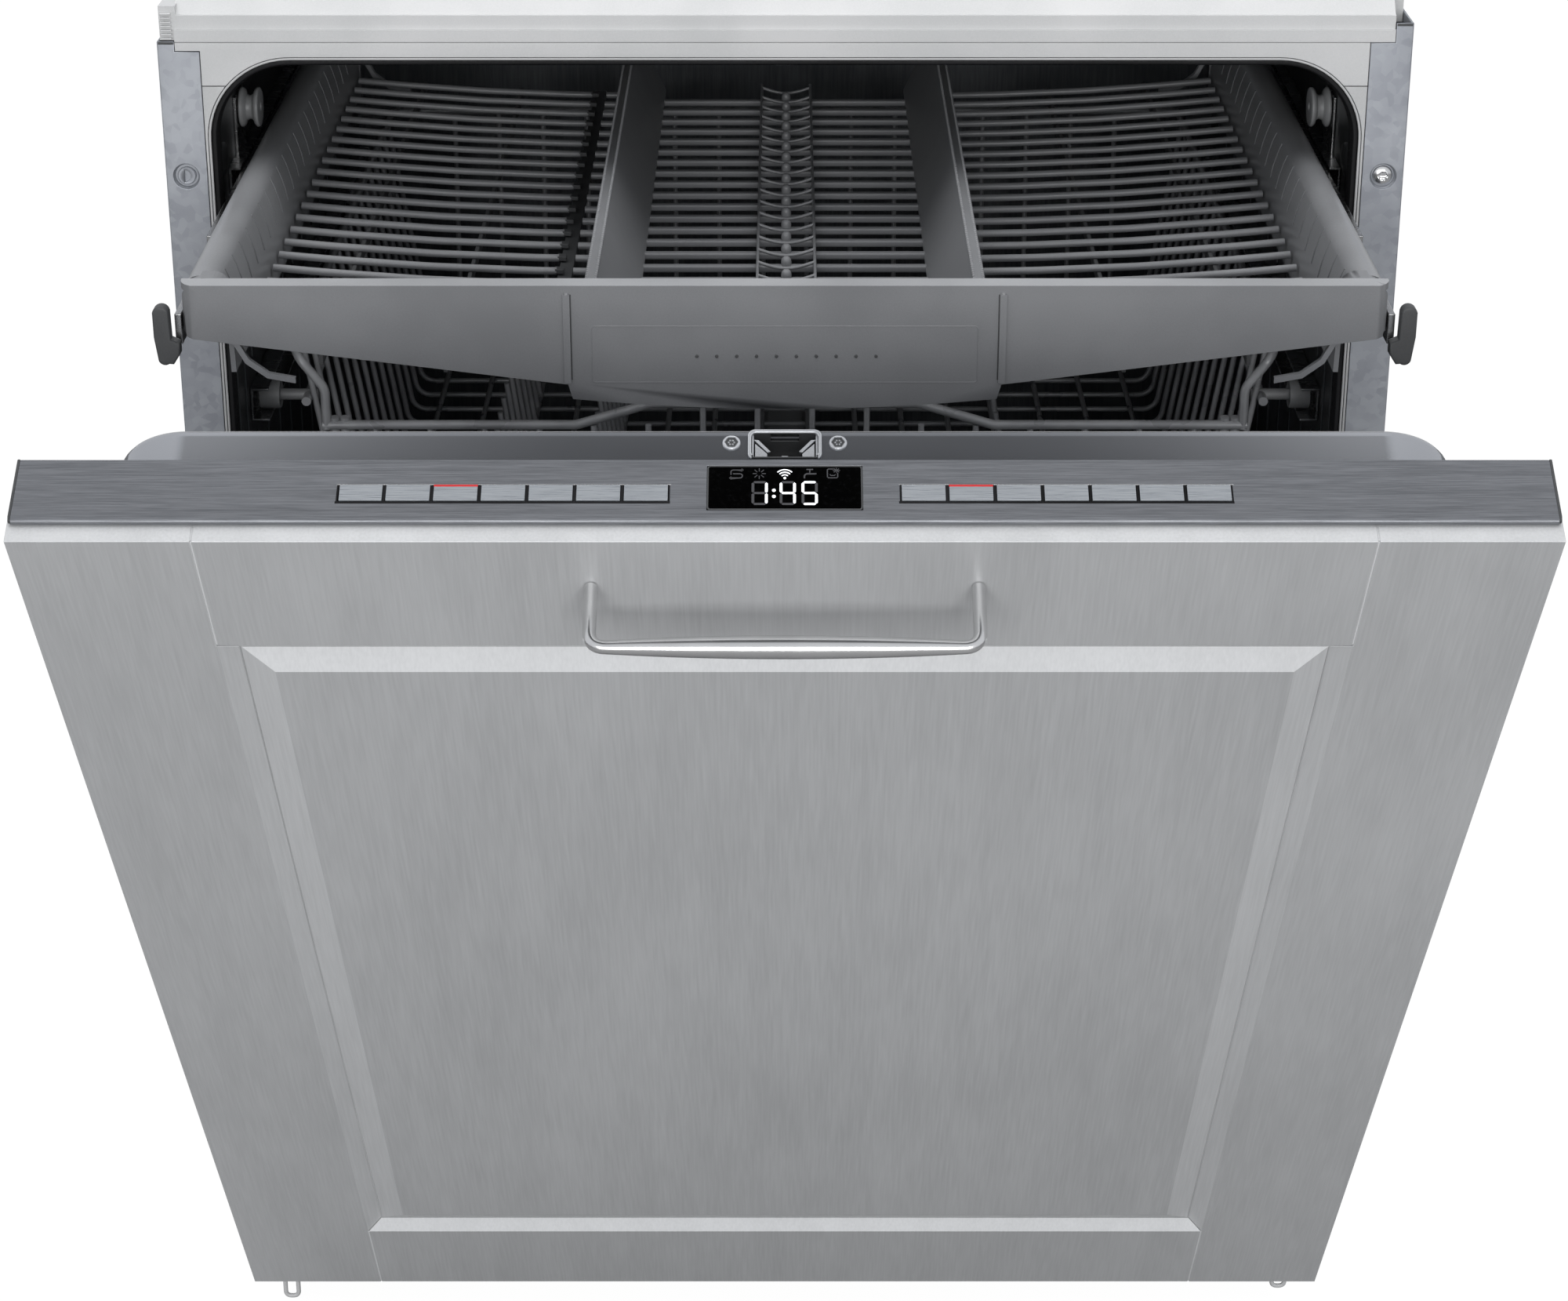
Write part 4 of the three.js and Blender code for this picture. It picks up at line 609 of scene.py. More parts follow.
def joined(*meshes):
    """Several shapes in one mesh."""
    bm = bmesh.new()
    for mesh in meshes:
        bm.from_mesh(mesh)
    return from_bmesh(bm)


def block(x0, x1, y0, y1, z0, z1, place, bevel=0.4):
    """A box with rounded edges; x0 and x1 may come in either order."""
    bm = bmesh.new()
    bmesh.ops.create_cube(bm, size=1)
    size = Vector((abs(x1 - x0), y1 - y0, z1 - z0))
    for vert in bm.verts:
        vert.co = Vector(a * b for a, b in zip(vert.co, size))
    if bevel:
        bmesh.ops.bevel(bm, geom=bm.edges, offset=bevel, segments=2, profile=0.5,
                        affect="EDGES", clamp_overlap=True)
    return from_bmesh(set_in(bm, place, at=((x0 + x1) / 2, (y0 + y1) / 2, (z0 + z1) / 2)))


def softened(node, width, segments=2, sharp=28.0):
    """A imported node's shape with its hard edges rounded over by width millimetres."""
    bm = bmesh.new()
    bm.from_mesh(frame["nodes"][node].data)
    bmesh.ops.remove_doubles(bm, verts=bm.verts, dist=3e-6)
    bmesh.ops.dissolve_limit(bm, angle_limit=math.radians(0.6), verts=bm.verts, edges=bm.edges,
                             use_dissolve_boundaries=False)
    edges = [e for e in bm.edges
             if len(e.link_faces) == 2 and e.calc_face_angle(0) > math.radians(sharp)]
    bmesh.ops.bevel(bm, geom=edges, offset=width * MM, offset_type="OFFSET", segments=segments,
                    profile=0.5, affect="EDGES", clamp_overlap=True)
    bmesh.ops.triangulate(bm, faces=[f for f in bm.faces if len(f.verts) > 4])
    return from_bmesh(bm, outward=False)


# ----------------------------------------
# Geometry Nodes for what repeats
# ----------------------------------------


def node_group(name, inputs):
    """A Geometry Nodes group with named inputs: (socket name, socket type) pairs."""
    tree = bpy.data.node_groups.new(name, "GeometryNodeTree")
    tree.interface.new_socket("Geometry", in_out="INPUT", socket_type="NodeSocketGeometry")
    for label, kind in inputs:
        tree.interface.new_socket(label, in_out="INPUT", socket_type=kind)
    tree.interface.new_socket("Geometry", in_out="OUTPUT", socket_type="NodeSocketGeometry")
    graph = Graph(tree)
    return graph, graph.node("NodeGroupInput")


def end_group(graph, geometry, finish):
    """Realizes what a group made, gives it its finish and hands it on."""
    real = graph.node("GeometryNodeRealizeInstances", None, [geometry])["Geometry"]
    done = graph.node("GeometryNodeSetMaterial", None, {"Geometry": real, "Material": finish})
    output = graph.tree.nodes.new("NodeGroupOutput")
    graph.plug(output.inputs[0], done["Geometry"])
    return graph.tree


def wire_group():
    """Lines become round wires with rounded bends."""
    graph, given = node_group("bent_wires", [
        ("Radius", "NodeSocketFloat"), ("Bend", "NodeSocketFloat"),
        ("Finish", "NodeSocketMaterial"),
    ])
    curve = graph.node("GeometryNodeMeshToCurve", None, {"Mesh": given["Geometry"]})["Curve"]
    fillet = graph.node("GeometryNodeFilletCurve", {"mode": "POLY"}, {
        "Curve": curve, "Count": 5, "Radius": given["Bend"], "Limit Radius": True,
    })["Curve"]
    ring = graph.node("GeometryNodeCurvePrimitiveCircle", None, {
        "Resolution": 10, "Radius": given["Radius"],
    })["Curve"]
    mesh = graph.node("GeometryNodeCurveToMesh", None, {
        "Curve": fillet, "Profile Curve": ring, "Fill Caps": True,
    })["Mesh"]
    return end_group(graph, mesh, given["Finish"])


def row_group():
    """One piece is set down again at every point."""
    graph, given = node_group("row", [
        ("Piece", "NodeSocketObject"), ("Finish", "NodeSocketMaterial"),
    ])
    piece = graph.node("GeometryNodeObjectInfo", {"transform_space": "ORIGINAL"},
                       {"Object": given["Piece"]})["Geometry"]
    placed = graph.node("GeometryNodeInstanceOnPoints", None, {
        "Points": given["Geometry"], "Instance": piece,
    })["Instances"]
    return end_group(graph, placed, given["Finish"])


WIRES = wire_group()
ROW = row_group()


def through_group(tree, mesh, values):
    """Runs a mesh through a node group with its inputs set by their identifiers."""
    holder = bpy.data.objects.new("through_group", mesh)
    modifier = holder.modifiers.new("nodes", "NODES")
    modifier.node_group = tree
    for item in tree.interface.items_tree:
        if item.item_type == "SOCKET" and item.in_out == "INPUT" and item.name in values:
            modifier[item.identifier] = values[item.name]
    return applied(holder)


def wires(lines, radius, bend, finish, place):
    """Wires along lines of points, all of one thickness."""
    points, edges = [], []
    for line in lines:
        edges += [(len(points) + k, len(points) + k + 1) for k in range(len(line) - 1)]
        points += [place(*point) for point in line]
    mesh = bpy.data.meshes.new("lines")
    mesh.from_pydata(points, edges, [])
    made = through_group(WIRES, mesh, {
        "Radius": radius * MM, "Bend": bend * MM, "Finish": FINISHES[finish],
    })
    return evened(made)


def row(piece, places, finish):
    """A shape repeated: it lies at the first place, and again at each of the others."""
    mesh = bpy.data.meshes.new("places")
    mesh.from_pydata([Vector(p) - Vector(places[0]) for p in places], [], [])
    holder = bpy.data.objects.new("piece", piece)
    bpy.context.scene.collection.objects.link(holder)
    made = through_group(ROW, mesh, {"Piece": holder, "Finish": FINISHES[finish]})
    bpy.data.objects.remove(holder)
    return evened(made)


# ----------------------------------------
# Pieces
# ----------------------------------------

BODY_OF = {
    node: name for name, nodes in frame["record"]["behaviour"]["bodies"].items() for node in nodes
}
SLOT_OF = {part["node"]: part["material_slot"] for part in frame["record"]["subparts"]}


def add_piece(name, mesh, finish, like, replaces=()):
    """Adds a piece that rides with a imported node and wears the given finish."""
    if isinstance(mesh, list):
        mesh = joined(*mesh)
    piece = bpy.data.objects.new(name, mesh)
    bpy.context.scene.collection.objects.link(piece)
    mesh.materials.clear()
    mesh.materials.append(FINISHES[finish])
    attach(piece, BODY_OF[like])
    SLOT_OF[like]
    if replaces:
        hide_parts(*replaces)
    return piece


def add_row(name, shape, places, finish, like):
    """Adds a shape repeated at places as one piece."""
    add_piece(name, row(shape, places, finish), finish, like)


def add_wires(name, lines, radius, bend, finish, like, replaces=(), place=body):
    """Adds wires along lines as one piece."""
    add_piece(name, wires(lines, radius, bend, finish, place), finish, like, replaces)


SIDES = ((-1, "left"), (1, "right"))


def soften_node(node, width, finish, segments=2, sharp=28.0):
    """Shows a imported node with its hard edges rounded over."""
    mesh = softened(node, width, segments, sharp)
    return add_piece(f"{node}_softened", mesh, finish, node, (node,))


SLOT_FINISH = {
    "galvanised": "galvanised", "white_plastic": "white", "tub_steel": "tub",
    "brushed_steel": "fascia", "panel": "panel", "chrome": "chrome", "tray_plastic": "tray",
    "coated_wire": "wire", "grey_plastic": "grey", "dark_plastic": "dark",
    "seal_rubber": "rubber", "display_glass": "display", "key_metal": "key",
}


def dress_packed_nodes():
    """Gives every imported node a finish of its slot; those that a piece replaces stay unseen."""
    for name, node in frame["nodes"].items():
        node.data.materials.clear()
        node.data.materials.append(FINISHES[SLOT_FINISH[SLOT_OF[name]]])
        node.data.shade_smooth()
        node.data.set_sharp_from_angle(angle=math.radians(35))


dress_packed_nodes()

# ----------------------------------------
# Body: front frame, seal, side panels, cover, tub and what hangs on it
# ----------------------------------------


def measured(node):
    """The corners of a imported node, in millimetres of the body's own frame."""
    return [(corner - DOOR_PIVOT) / MM + PIVOT_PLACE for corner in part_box(node)]


SEAL_LOW, SEAL_HIGH = measured("tub_seal")
SEAL_GAP = 0.3          # from the seal to the edge of the tub's opening
OPENING_HALF = SEAL_HIGH.x + SEAL_GAP
OPENING_FOOT = SEAL_LOW.z - SEAL_GAP
OPENING_HEAD = SEAL_HIGH.z + SEAL_GAP
OPENING_RADIUS = 40
OPENING_LOWER_RADIUS = 24
FRAME_HALF, _, FRAME_HEAD = measured("front_frame")[1]
PARTING = 775           # height of the parting line in the front frame
FRAME_FOOT = 195        # where the frame's legs end
EAR = (290.5, 792.3)    # the frame reaches over the left pillar
PILLAR_HOLE = (289.2, 730)
SPRAY_AXIS = 265        # how far back the spray arms turn


def opening(offset, steps=14):
    """The outline of the tub's opening, widened by offset."""
    return rounded(-OPENING_HALF - offset, OPENING_HALF + offset, OPENING_FOOT - offset,
                   OPENING_HEAD + offset, OPENING_RADIUS + offset,
                   OPENING_LOWER_RADIUS + offset, steps)


def opening_edge(offset, v):
    """Half the width of the widened opening at a height in one of its corners."""
    upper = v > (OPENING_FOOT + OPENING_HEAD) / 2
    plain = OPENING_RADIUS if upper else OPENING_LOWER_RADIUS
    centre = OPENING_HEAD - plain if upper else OPENING_FOOT + plain
    return OPENING_HALF - plain + math.sqrt((plain + offset) ** 2 - (v - centre) ** 2)


def add_front_frame():
    """The moulding round the opening: one piece over the parting line and two legs under it."""
    clear = 1.2
    inner = opening(clear, 20)
    low = PARTING + 0.2
    edge = opening_edge(clear, low)
    arch = [(u, v) for u, v in inner if v > low]
    upper = ([(-FRAME_HALF, low), (-edge, low)] + arch[::-1]
             + [(edge, low), (FRAME_HALF, low), (FRAME_HALF, FRAME_HEAD),
                (-EAR[0], FRAME_HEAD), (-EAR[0], EAR[1]), (-FRAME_HALF, EAR[1])])
    mesh = plate([upper], -1.2, 0, body, ALONG_Y, 0.25)
    add_piece("front_frame_head", mesh, "frame_head", "front_frame", ("front_frame",))

    head, foot = PARTING - 0.2, FRAME_FOOT
    side = ([(opening_edge(clear, head), head)]
            + [(u, v) for u, v in inner[::-1] if u > 0 and foot < v < head]
            + [(opening_edge(clear, foot), foot), (FRAME_HALF, foot), (FRAME_HALF, head)])
    legs = [plate([[(turn * u, v) for u, v in side]], -1.2, 0, body, ALONG_Y, 0.25)
            for turn in (1, -1)]
    add_piece("front_frame_legs", legs, "frame_white", "front_frame")

    bead = tube([(u, 0.62, v) for u, v in opening(0.35)], 0.6, body, 10, closed=True)
    add_piece("opening_bead", bead, "frame_white", "front_frame")


def add_seal():
    """A rubber lip all round the opening, hollow towards the tub."""
    profile = [(-0.3, 12), (-0.3, 1.7), (-1.2, 1.25), (-2.4, 1.5), (-3.2, 2.8), (-3.6, 5.5),
               (-3.6, 8.5), (-3.1, 9.6), (-2.6, 7), (-2.1, 4.6), (-1.5, 3.6), (-1.4, 12)]
    rings = [[(u, y, v) for u, v in opening(offset)] for offset, y in profile]
    add_piece("seal_lip", skin(rings, body, closed=True), "rubber", "tub_seal", ("tub_seal",))


def add_side_panel(side):
    """Bent sheet with a front flange that has a recessed screw hole, and a back flange."""
    name = "side_panel_right" if side > 0 else "side_panel_left"
    head = measured(name)[1].z
    notch = 796.4 if side > 0 else 792.0
    foot, back = 17, 550
    near, far = 279, 298.7      # the flanges' edges, from the middle
    step = EAR[0] + 0.3
    hole_x, hole_z = PILLAR_HOLE
    sheet = [(0.2, 173.8), (104, 173.8), (104, foot), (back, foot), (back, head), (0.2, head)]
    web = plate([sheet], side * 297.8, side * 299, body, ALONG_X, 0.4)
    flange = [(near, 218), (far, 218), (far, head), (step, head), (step, notch), (near, notch)]
    front = plate([[(side * u, v) for u, v in flange], circle(side * hole_x, hole_z, 6.3, 40)],
                  -1.2, 0, body, ALONG_Y, 0.35)
    flange = [(near, foot), (far, foot), (far, head), (near, head)]
    rear = plate([[(side * u, v) for u, v in flange]], -back, 1.2 - back, body, ALONG_Y, 0.35)
    add_piece(f"{name}_sheet", [web, front, rear], "galvanised", name, (name,))

    cup = turned([(0, -3.4), (7.6, -3.4), (7.6, -1.1), (6.35, -1.1), (6.1, -1.5), (5.5, -2.4),
                  (0, -2.4)], body, ALONG_Y, (side * hole_x, 0, hole_z), 40)
    add_piece(f"{name}_cup", cup, "galvanised", name)
    edge = block(side * 291, side * 298.4, -0.05, 1, head - 1.5, head - 0.2, body, 0.1)
    add_piece(f"{name}_head_line", edge, "dark", name)
    gap = block(side * 278.75, side * 279.25, 0.45, 1.1, 219, notch, body, 0.1)
    add_piece(f"{name}_gap", gap, "rubber", name)


def add_pillar_fittings():
    """A turned-in plug in the left pillar and a screw in the right one."""
    x, z = PILLAR_HOLE
    plug = turned([(0, -2.3), (4.4, -2.3), (4.4, -1.3), (4.0, -0.9), (0, -0.9)], body, ALONG_Y,
                  (-x, 0, z), 32)
    slot = shifted(plate([arc(0, 0, 3.0, -90, 90, 12)], 0, 1.4, body, ALONG_Y, 0.1), body,
                   -x - 1, 2.2, z)
    add_piece("pillar_plug", carved(plug, slot), "galvanised", "side_panel_left")
    screw = turned([(0, -2.3), (5.0, -2.3), (5.0, -1.9), (4.2, -1.1), (2.6, -0.6), (0, -0.6)], body,
                   ALONG_Y, (x, 0, z), 32)
    star = []
    for turn in [TAU * k / 48 for k in range(48)]:
        reach = 1.9 * (1 + 0.16 * math.cos(6 * turn))
        star.append((reach * math.cos(turn), reach * math.sin(turn)))
    socket = shifted(plate([star], 0, 2, body, ALONG_Y, 0.05), body, x, 1.9, z)
    add_piece("pillar_screw", carved(screw, socket), "bright", "side_panel_right")


def add_top_cover():
    """The cover's sheet, and the ribs on its moulded end block."""
    soften_node("top_cover", 0.5, "white", sharp=24)
    ribs = block(-296.8, -291.6, -0.02, 1.4, 797.9, 798.7, body, 0.25)
    places = [body(0, 0, z) for z in range(798, 812, 2)]
    add_row("end_block_ribs", ribs, places, "white", "top_cover")


def add_guide_rollers():
    """Waisted spools beside the tray's rails."""
    profile = [(2.3, 0), (9.4, 0), (10, 0.6), (10, 1.5), (9, 2.6), (6.6, 3.5), (6, 5), (6.6, 6.5),
               (9, 7.4), (10, 8.5), (10, 9.4), (9.4, 10), (2.3, 10)]
    for name in ("guide_roller_left", "guide_roller_right"):
        low = measured(name)[0]
        rings = [[(u, v, w) for u, v in circle(0, 0, radius, 40)] for radius, w in profile]
        mesh = skin(rings, body, closed=True, at=(low.x, 78, 742.5), axes=ALONG_X)
        add_piece(f"{name}_spool", mesh, "grey", name, (name,))


def add_tub_details():
    """Beads pressed into the tub's walls, oval domes by the front and a mat on the back."""
    soften_node("tub", 0.7, "tub", sharp=40)
    whole, broken = [(250, 690)], [(250, 568), (608, 690)]
    spans = [(30, whole), (52, whole)] + [(y, broken) for y in range(76, 500, 37)]
    beads = [plate([rounded(y - 3, y + 3, z0, z1, 3, steps=6)], side * 275.5, side * 277, body,
                   ALONG_X, 0.6)
             for side in (-1, 1) for y, heights in spans for z0, z1 in heights]
    add_piece("tub_beads", beads, "tub", "tub")
    for side, name in SIDES:
        dome = [(0, -side * 1.9), (6, -side * 1.8), (11, -side * 1.3), (14, -side * 0.5),
                (15, side * 0.4), (0, side * 0.4)]
        mesh = turned(dome, body, ALONG_X, (side * 276.2, 28, 729.5), 40, 0.576)
        add_piece(f"tub_dome_{name}", mesh, "tub", "tub")
    pad = plate([rounded(-230, 230, 240, 740, 14)], -521, -517.6, body, ALONG_Y, 1.2, 3)
    add_piece("back_mat", pad, "rubber", "tub")


def add_plinth():
    """The toe plate with the ends of its two wire loops, and the base tray."""
    face = plate([[(-297.5, 19), (297.5, 19), (297.5, 151.8), (-297.5, 151.8)]], -104, -101.5, body,
                 ALONG_Y, 0.8, 3)
    loops, y, head, half = [], 102.4, 35, 3.8
    for x, foot in ((-293, 2.5), (293, 9.5)):
        path = bent([(x - half, y, head), (x - half, y, foot), (x + half, y, foot),
                     (x + half, y, head)], 3.4)
        loops.append(tube(path, 1.3, body, 12))
    add_piece("toe_plate_sheet", [face, *loops], "white", "toe_plate", ("toe_plate",))
    soften_node("base_tray", 0.8, "dark")


def add_foot(name):
    """A round pad, a spanner flat and a threaded stem."""
    low, high = measured(name)
    at = ((low.x + high.x) / 2, (low.y + high.y) / 2, 0)
    pad = turned([(0, 0.0), (17.6, 0.0), (18.7, 0.6), (19, 1.8), (19, 4.2), (18.2, 5.4), (11, 8.2),
                  (9.4, 9.2), (0, 9.2)], body, ALONG_Z, at, 40)
    flat = shifted(plate([circle(0, 0, 10.2, 6)], 8.6, 15, body, ALONG_Z, 0.6), body, *at)
    rings = []
    pitch, sides, turns, start = 2.5, 20, 180, 13
    for k in range(turns):
        z = start + k * (high.z - start) / (turns - 1)
        ring = []
        for side in range(sides):
            turn = TAU * side / sides
            radius = 6.6 + 0.4 * math.cos(turn - TAU * z / pitch)
            ring.append((radius * math.cos(turn), radius * math.sin(turn), z))
        rings.append(ring)
    stem = skin(rings, body, at=at)
    add_piece(f"{name}_threaded", [pad, flat, stem], "dark", name, (name,))


def add_small_metal():
    """Hinge brackets with their rivets, the striker, the rails, the pump and the duct."""
    for side, end in SIDES:
        name = f"hinge_bracket_{end}"
        soften_node(name, 0.4, "galvanised")
        rivets = [turned([(0, 0), (3.4, 0), (3.2, side * -0.5), (2, side * -1.1), (0, side * -1.3)],
                         body, ALONG_X, (side * 286.35, y, z), 24)
                  for y, z in ((12, 196), (44, 204), (82, 186))]
        add_piece(f"{name}_rivets", rivets, "bright", name)
    soften_node("door_striker", 0.3, "bright")
    for kind in ("tray_rail", "upper_rail", "tray_slide"):
        for end in ("left", "right"):
            soften_node(f"{kind}_{end}", 0.3, "rail")
    soften_node("sump_pump", 0.8, "dark")
    soften_node("water_duct", 0.8, "grey")


add_front_frame()
add_seal()
add_side_panel(-1)
add_side_panel(1)
add_pillar_fittings()
add_top_cover()
add_guide_rollers()
add_tub_details()
add_plinth()
for foot_name in ("foot_front_left", "foot_front_right", "foot_back_left", "foot_back_right"):
    add_foot(foot_name)
add_small_metal()

# ----------------------------------------
# Door, drawn closed: x across, e back from the panel face, z up
# ----------------------------------------

FASCIA_HEAD = 803
KEY_START, KEY_PITCH, KEYS = 44.4, 18.36, 7     # from the middle, on each side
KEY_NEAR, KEY_FAR = 16.1, 24.6
DISPLAY = (-29.8, 29.8, 13.1, 33.6)
SYMBOL_FOOT = 27.9                              # of the symbols over the digits
PAN_HALF, PAN_FOOT, PAN_HEAD, PAN_RADIUS = 270.5, 196, 784, 32
LATCH_SLOT = (-5.7, 5.7, 61.5, 69.5, 777.9, 789)    # the striker passes through it


def slab(tops, drop, place=door, bevel=0.15):
    """A convex plate given by the corners of its upper face, with rounded edges."""
    bm = bmesh.new()
    upper = [bm.verts.new(point) for point in tops]
    lower = [bm.verts.new((x, y, z - drop)) for x, y, z in tops]
    bm.faces.new(upper)
    bm.faces.new(lower[::-1])
    for side in range(len(tops)):
        turn = (side + 1) % len(tops)
        bm.faces.new((upper[side], upper[turn], lower[turn], lower[side]))
    bmesh.ops.bevel(bm, geom=bm.edges, offset=bevel, segments=2, profile=0.5, affect="EDGES")
    return from_bmesh(set_in(bm, place))


def ribbon(points, width, steps=6):
    """The outline of a stroke of even width with round ends."""
    half = width / 2
    left, right = [], []
    count = len(points)
    for k, (u, v) in enumerate(points):
        before, after = points[max(k - 1, 0)], points[min(k + 1, count - 1)]
        turn = math.atan2(after[1] - before[1], after[0] - before[0])
        left.append((u - half * math.sin(turn), v + half * math.cos(turn)))
        right.append((u + half * math.sin(turn), v - half * math.cos(turn)))
    (u0, v0), (u1, v1) = points[:2]
    start = math.degrees(math.atan2(v1 - v0, u1 - u0))
    (u2, v2), (u3, v3) = points[-2:]
    end = math.degrees(math.atan2(v3 - v2, u3 - u2))
    return (left + arc(u3, v3, half, end + 90, end - 90, steps)[1:-1] + right[::-1]
            + arc(u0, v0, half, start - 90, start - 270, steps)[1:-1])


def marks(outlines):
    """Thin printed or lit marks on the display."""
    return plate(outlines, 802.93, 803.08, door, ALONG_Z, 0.03, 1)


def segment(x, e, reach, width, upright):
    """The outline of a digit's segment: a bar with pointed ends."""
    half = width / 2
    bar = [(-reach, 0), (-reach + half, half), (reach - half, half), (reach, 0),
           (reach - half, -half), (-reach + half, -half)]
    return [(x + v, e + u) if upright else (x + u, e + v) for u, v in bar]


def digit(x, lit):
    """Outlines of a seven-segment digit: the lit ones and the dim ones."""
    side, foot, middle, head = 2.6, 15.6, 20.75, 25.9
    upper, lower = (middle + head) / 2, (foot + middle) / 2
    gap = 0.15
    flat, tall = side - gap, (head - middle) / 2 - gap
    middles = {
        "a": (x, head), "b": (x + side, upper), "c": (x + side, lower), "d": (x, foot),
        "e": (x - side, lower), "f": (x - side, upper), "g": (x, middle),
    }
    on, off = [], []
    for name, (at, e) in middles.items():
        upright = name in "bcef"
        reach, width = (tall, 1.05) if upright else (flat, 0.95)
        (on if name in lit else off).append(segment(at, e, reach, width, upright))
    return on, off


def display_symbols():
    """Outlines of the row of symbols over the digits: the lit one and the dim ones."""
    foot = SYMBOL_FOOT
    lit = [circle(0, foot, 0.55, 16)]
    lit += [ribbon(arc(0, foot, radius, 47, 133, 10), 0.46) for radius in (1.55, 2.75, 3.95)]
    strokes = []
    for turn in range(0, 360, 45):      # a lamp's rays
        u, v = math.cos(math.radians(turn)), math.sin(math.radians(turn))
        strokes.append(([(-9.9 + reach * u, 30 + reach * v) for reach in (1.15, 2.4)], 0.34))
    strokes += [
        # Two arrows that follow each other
        ([(-21, foot), (-17.4, foot)] + arc(-17.4, 28.9, 1, -90, 90, 6) + [(-19.9, 29.9)], 0.42),
        ([(-16.4, 31.7), (-20, 31.7)] + arc(-20, 30.85, 0.85, 90, 180, 5) + [(-20.85, 29.6)],
         0.42),
        # A tap
        ([(8.6, 32), (10.8, 32)], 0.5),
        ([(9.7, 31.55), (9.7, 30.6)], 0.5),
        ([(12, 29.9), (8.8, 29.9)] + arc(8.8, 28.7, 1.2, 90, 180, 5) + [(7.6, 28)], 0.62),
        # A box with a star over its corner
        ([(18.6, 32.2), (16.9, 32.2), (16.5, 31.8), (16.5, 28.4), (16.9, 28), (20.1, 28),
          (20.5, 28.4), (20.5, 30.2)], 0.44),
        ([(17.5, 29.5), (18, 29.1), (19.2, 29.1), (19.6, 29.5)], 0.36),
    ]
    for turn in range(0, 180, 45):
        u, v = 1.3 * math.cos(math.radians(turn)), 1.1 * math.sin(math.radians(turn))
        start = 0 if turn == 0 else 0.3
        strokes.append(([(20 + u * start, 31.5 + v * start), (20 + u, 31.5 + v)], 0.3))
        strokes.append(([(20 - u * 0.35, 31.5 - v * 0.35), (20 - u, 31.5 - v)], 0.3))
    arrow_heads = [[(-21.6, foot), (-20.7, 28.7), (-20.7, 28.25), (-20.7, 27.1)],
                   [(-15.9, 31.7), (-16.8, 32.5), (-16.8, 31.95), (-16.8, 30.9)]]
    return lit, [ribbon(*stroke) for stroke in strokes] + arrow_heads


def add_display():
    """Black glass in a dark rim, with its lit and its dim marks."""
    x0, x1, e0, e1 = DISPLAY
    glass = plate([rounded(x0, x1, e0, e1, 1)], 801.2, FASCIA_HEAD - 0.05, door, ALONG_Z, 0.25)
    add_piece("display_glass", glass, "display", "display_window", ("display_window",))
    rim = plate([rounded(x0 - 0.25, x1 + 0.25, e0 - 0.25, e1 + 0.25, 1.2),
                 rounded(x0 + 0.35, x1 - 0.35, e0 + 0.35, e1 - 0.35, 0.8)],
                802.7, FASCIA_HEAD + 0.03, door, ALONG_Z, 0.08, 1)
    add_piece("display_rim", rim, "dark", "display_window")
    lit, dim = display_symbols()
    for x, shown in ((-9.7, "bc"), (1.15, "bcfg"), (9.6, "acdfg")):
        on, off = digit(x, shown)
        lit += on
        dim += off
    lit += [circle(-4.2, 22.05, 0.72, 20), circle(-4.2, 19.15, 0.72, 20)]
    add_piece("display_lit_marks", marks(lit), "lit", "display_window")
    add_piece("display_dim_marks", marks(dim), "unlit", "display_window")


def key_edge(side, number):
    """Where the keys of a side meet; number counts the keys nearer to the middle."""
    return side * (KEY_START + number * KEY_PITCH)


def add_keys():
    """Two rows of key caps, black bars of painted shade in the gaps round them, a painted highlight along their
    far edge, and a lamp in two of the keys.
    """
    gap = 0.72
    for number in range(1, KEYS + 1):
        for side, end in SIDES:
            x0, x1 = sorted(key_edge(side, k) for k in (number - 1, number))
            first = 0.35 if (end, number) == ("left", KEYS) else 0
            cap = block(x0 + gap + first, x1 - gap, KEY_NEAR + 0.85, KEY_FAR - 0.3, 795, 803.64,
                        door, 0.2)
            node = f"key_{end}_{number}"
            add_piece(f"{node}_cap", cap, "key", node, (node,))
    for side, name in SIDES:
        starts = [key_edge(side, k) for k in range(KEYS + 1)]
        # Black bars between the keys and a black line along their front: painted shade in the gaps.
        bar = block(starts[0] - 0.5, starts[0] + 0.5, KEY_NEAR + 0.1, KEY_FAR - 0.1, 794, 802.9,
                    door, 0.05)
        places = [door(x, 20, 800) for x in starts]
        add_row(f"key_gaps_{name}", bar, places, "rubber", "control_fascia")
        x0, x1 = sorted((starts[0], starts[-1]))
        line = block(x0 - 0.4, x1 + 0.2, KEY_NEAR - 0.3, KEY_NEAR + 0.8, 800, 803.06, door, 0.06)
        add_piece(f"key_front_line_{name}", line, "rubber", "control_fascia")
        # A bright strip along the keys' far edge: a painted highlight.
        edge = block(x0 - 0.2, x1 + 0.5, KEY_FAR + 0.05, KEY_FAR + 0.4, 802, 803.1, door, 0.08)
        add_piece(f"key_far_edge_{name}", edge, "bright", "control_fascia")
    for x in (KEY_START + 1.5 * KEY_PITCH, -KEY_START - 4.5 * KEY_PITCH):
        mark = block(x - 8.5, x + 8.5, 23.35, 24.32, 803.3, 803.68, door, 0.06)
        name = "left_3" if x < 0 else "right_2"
        add_piece(f"key_{name}_lamp", mark, "red", f"key_{name}")


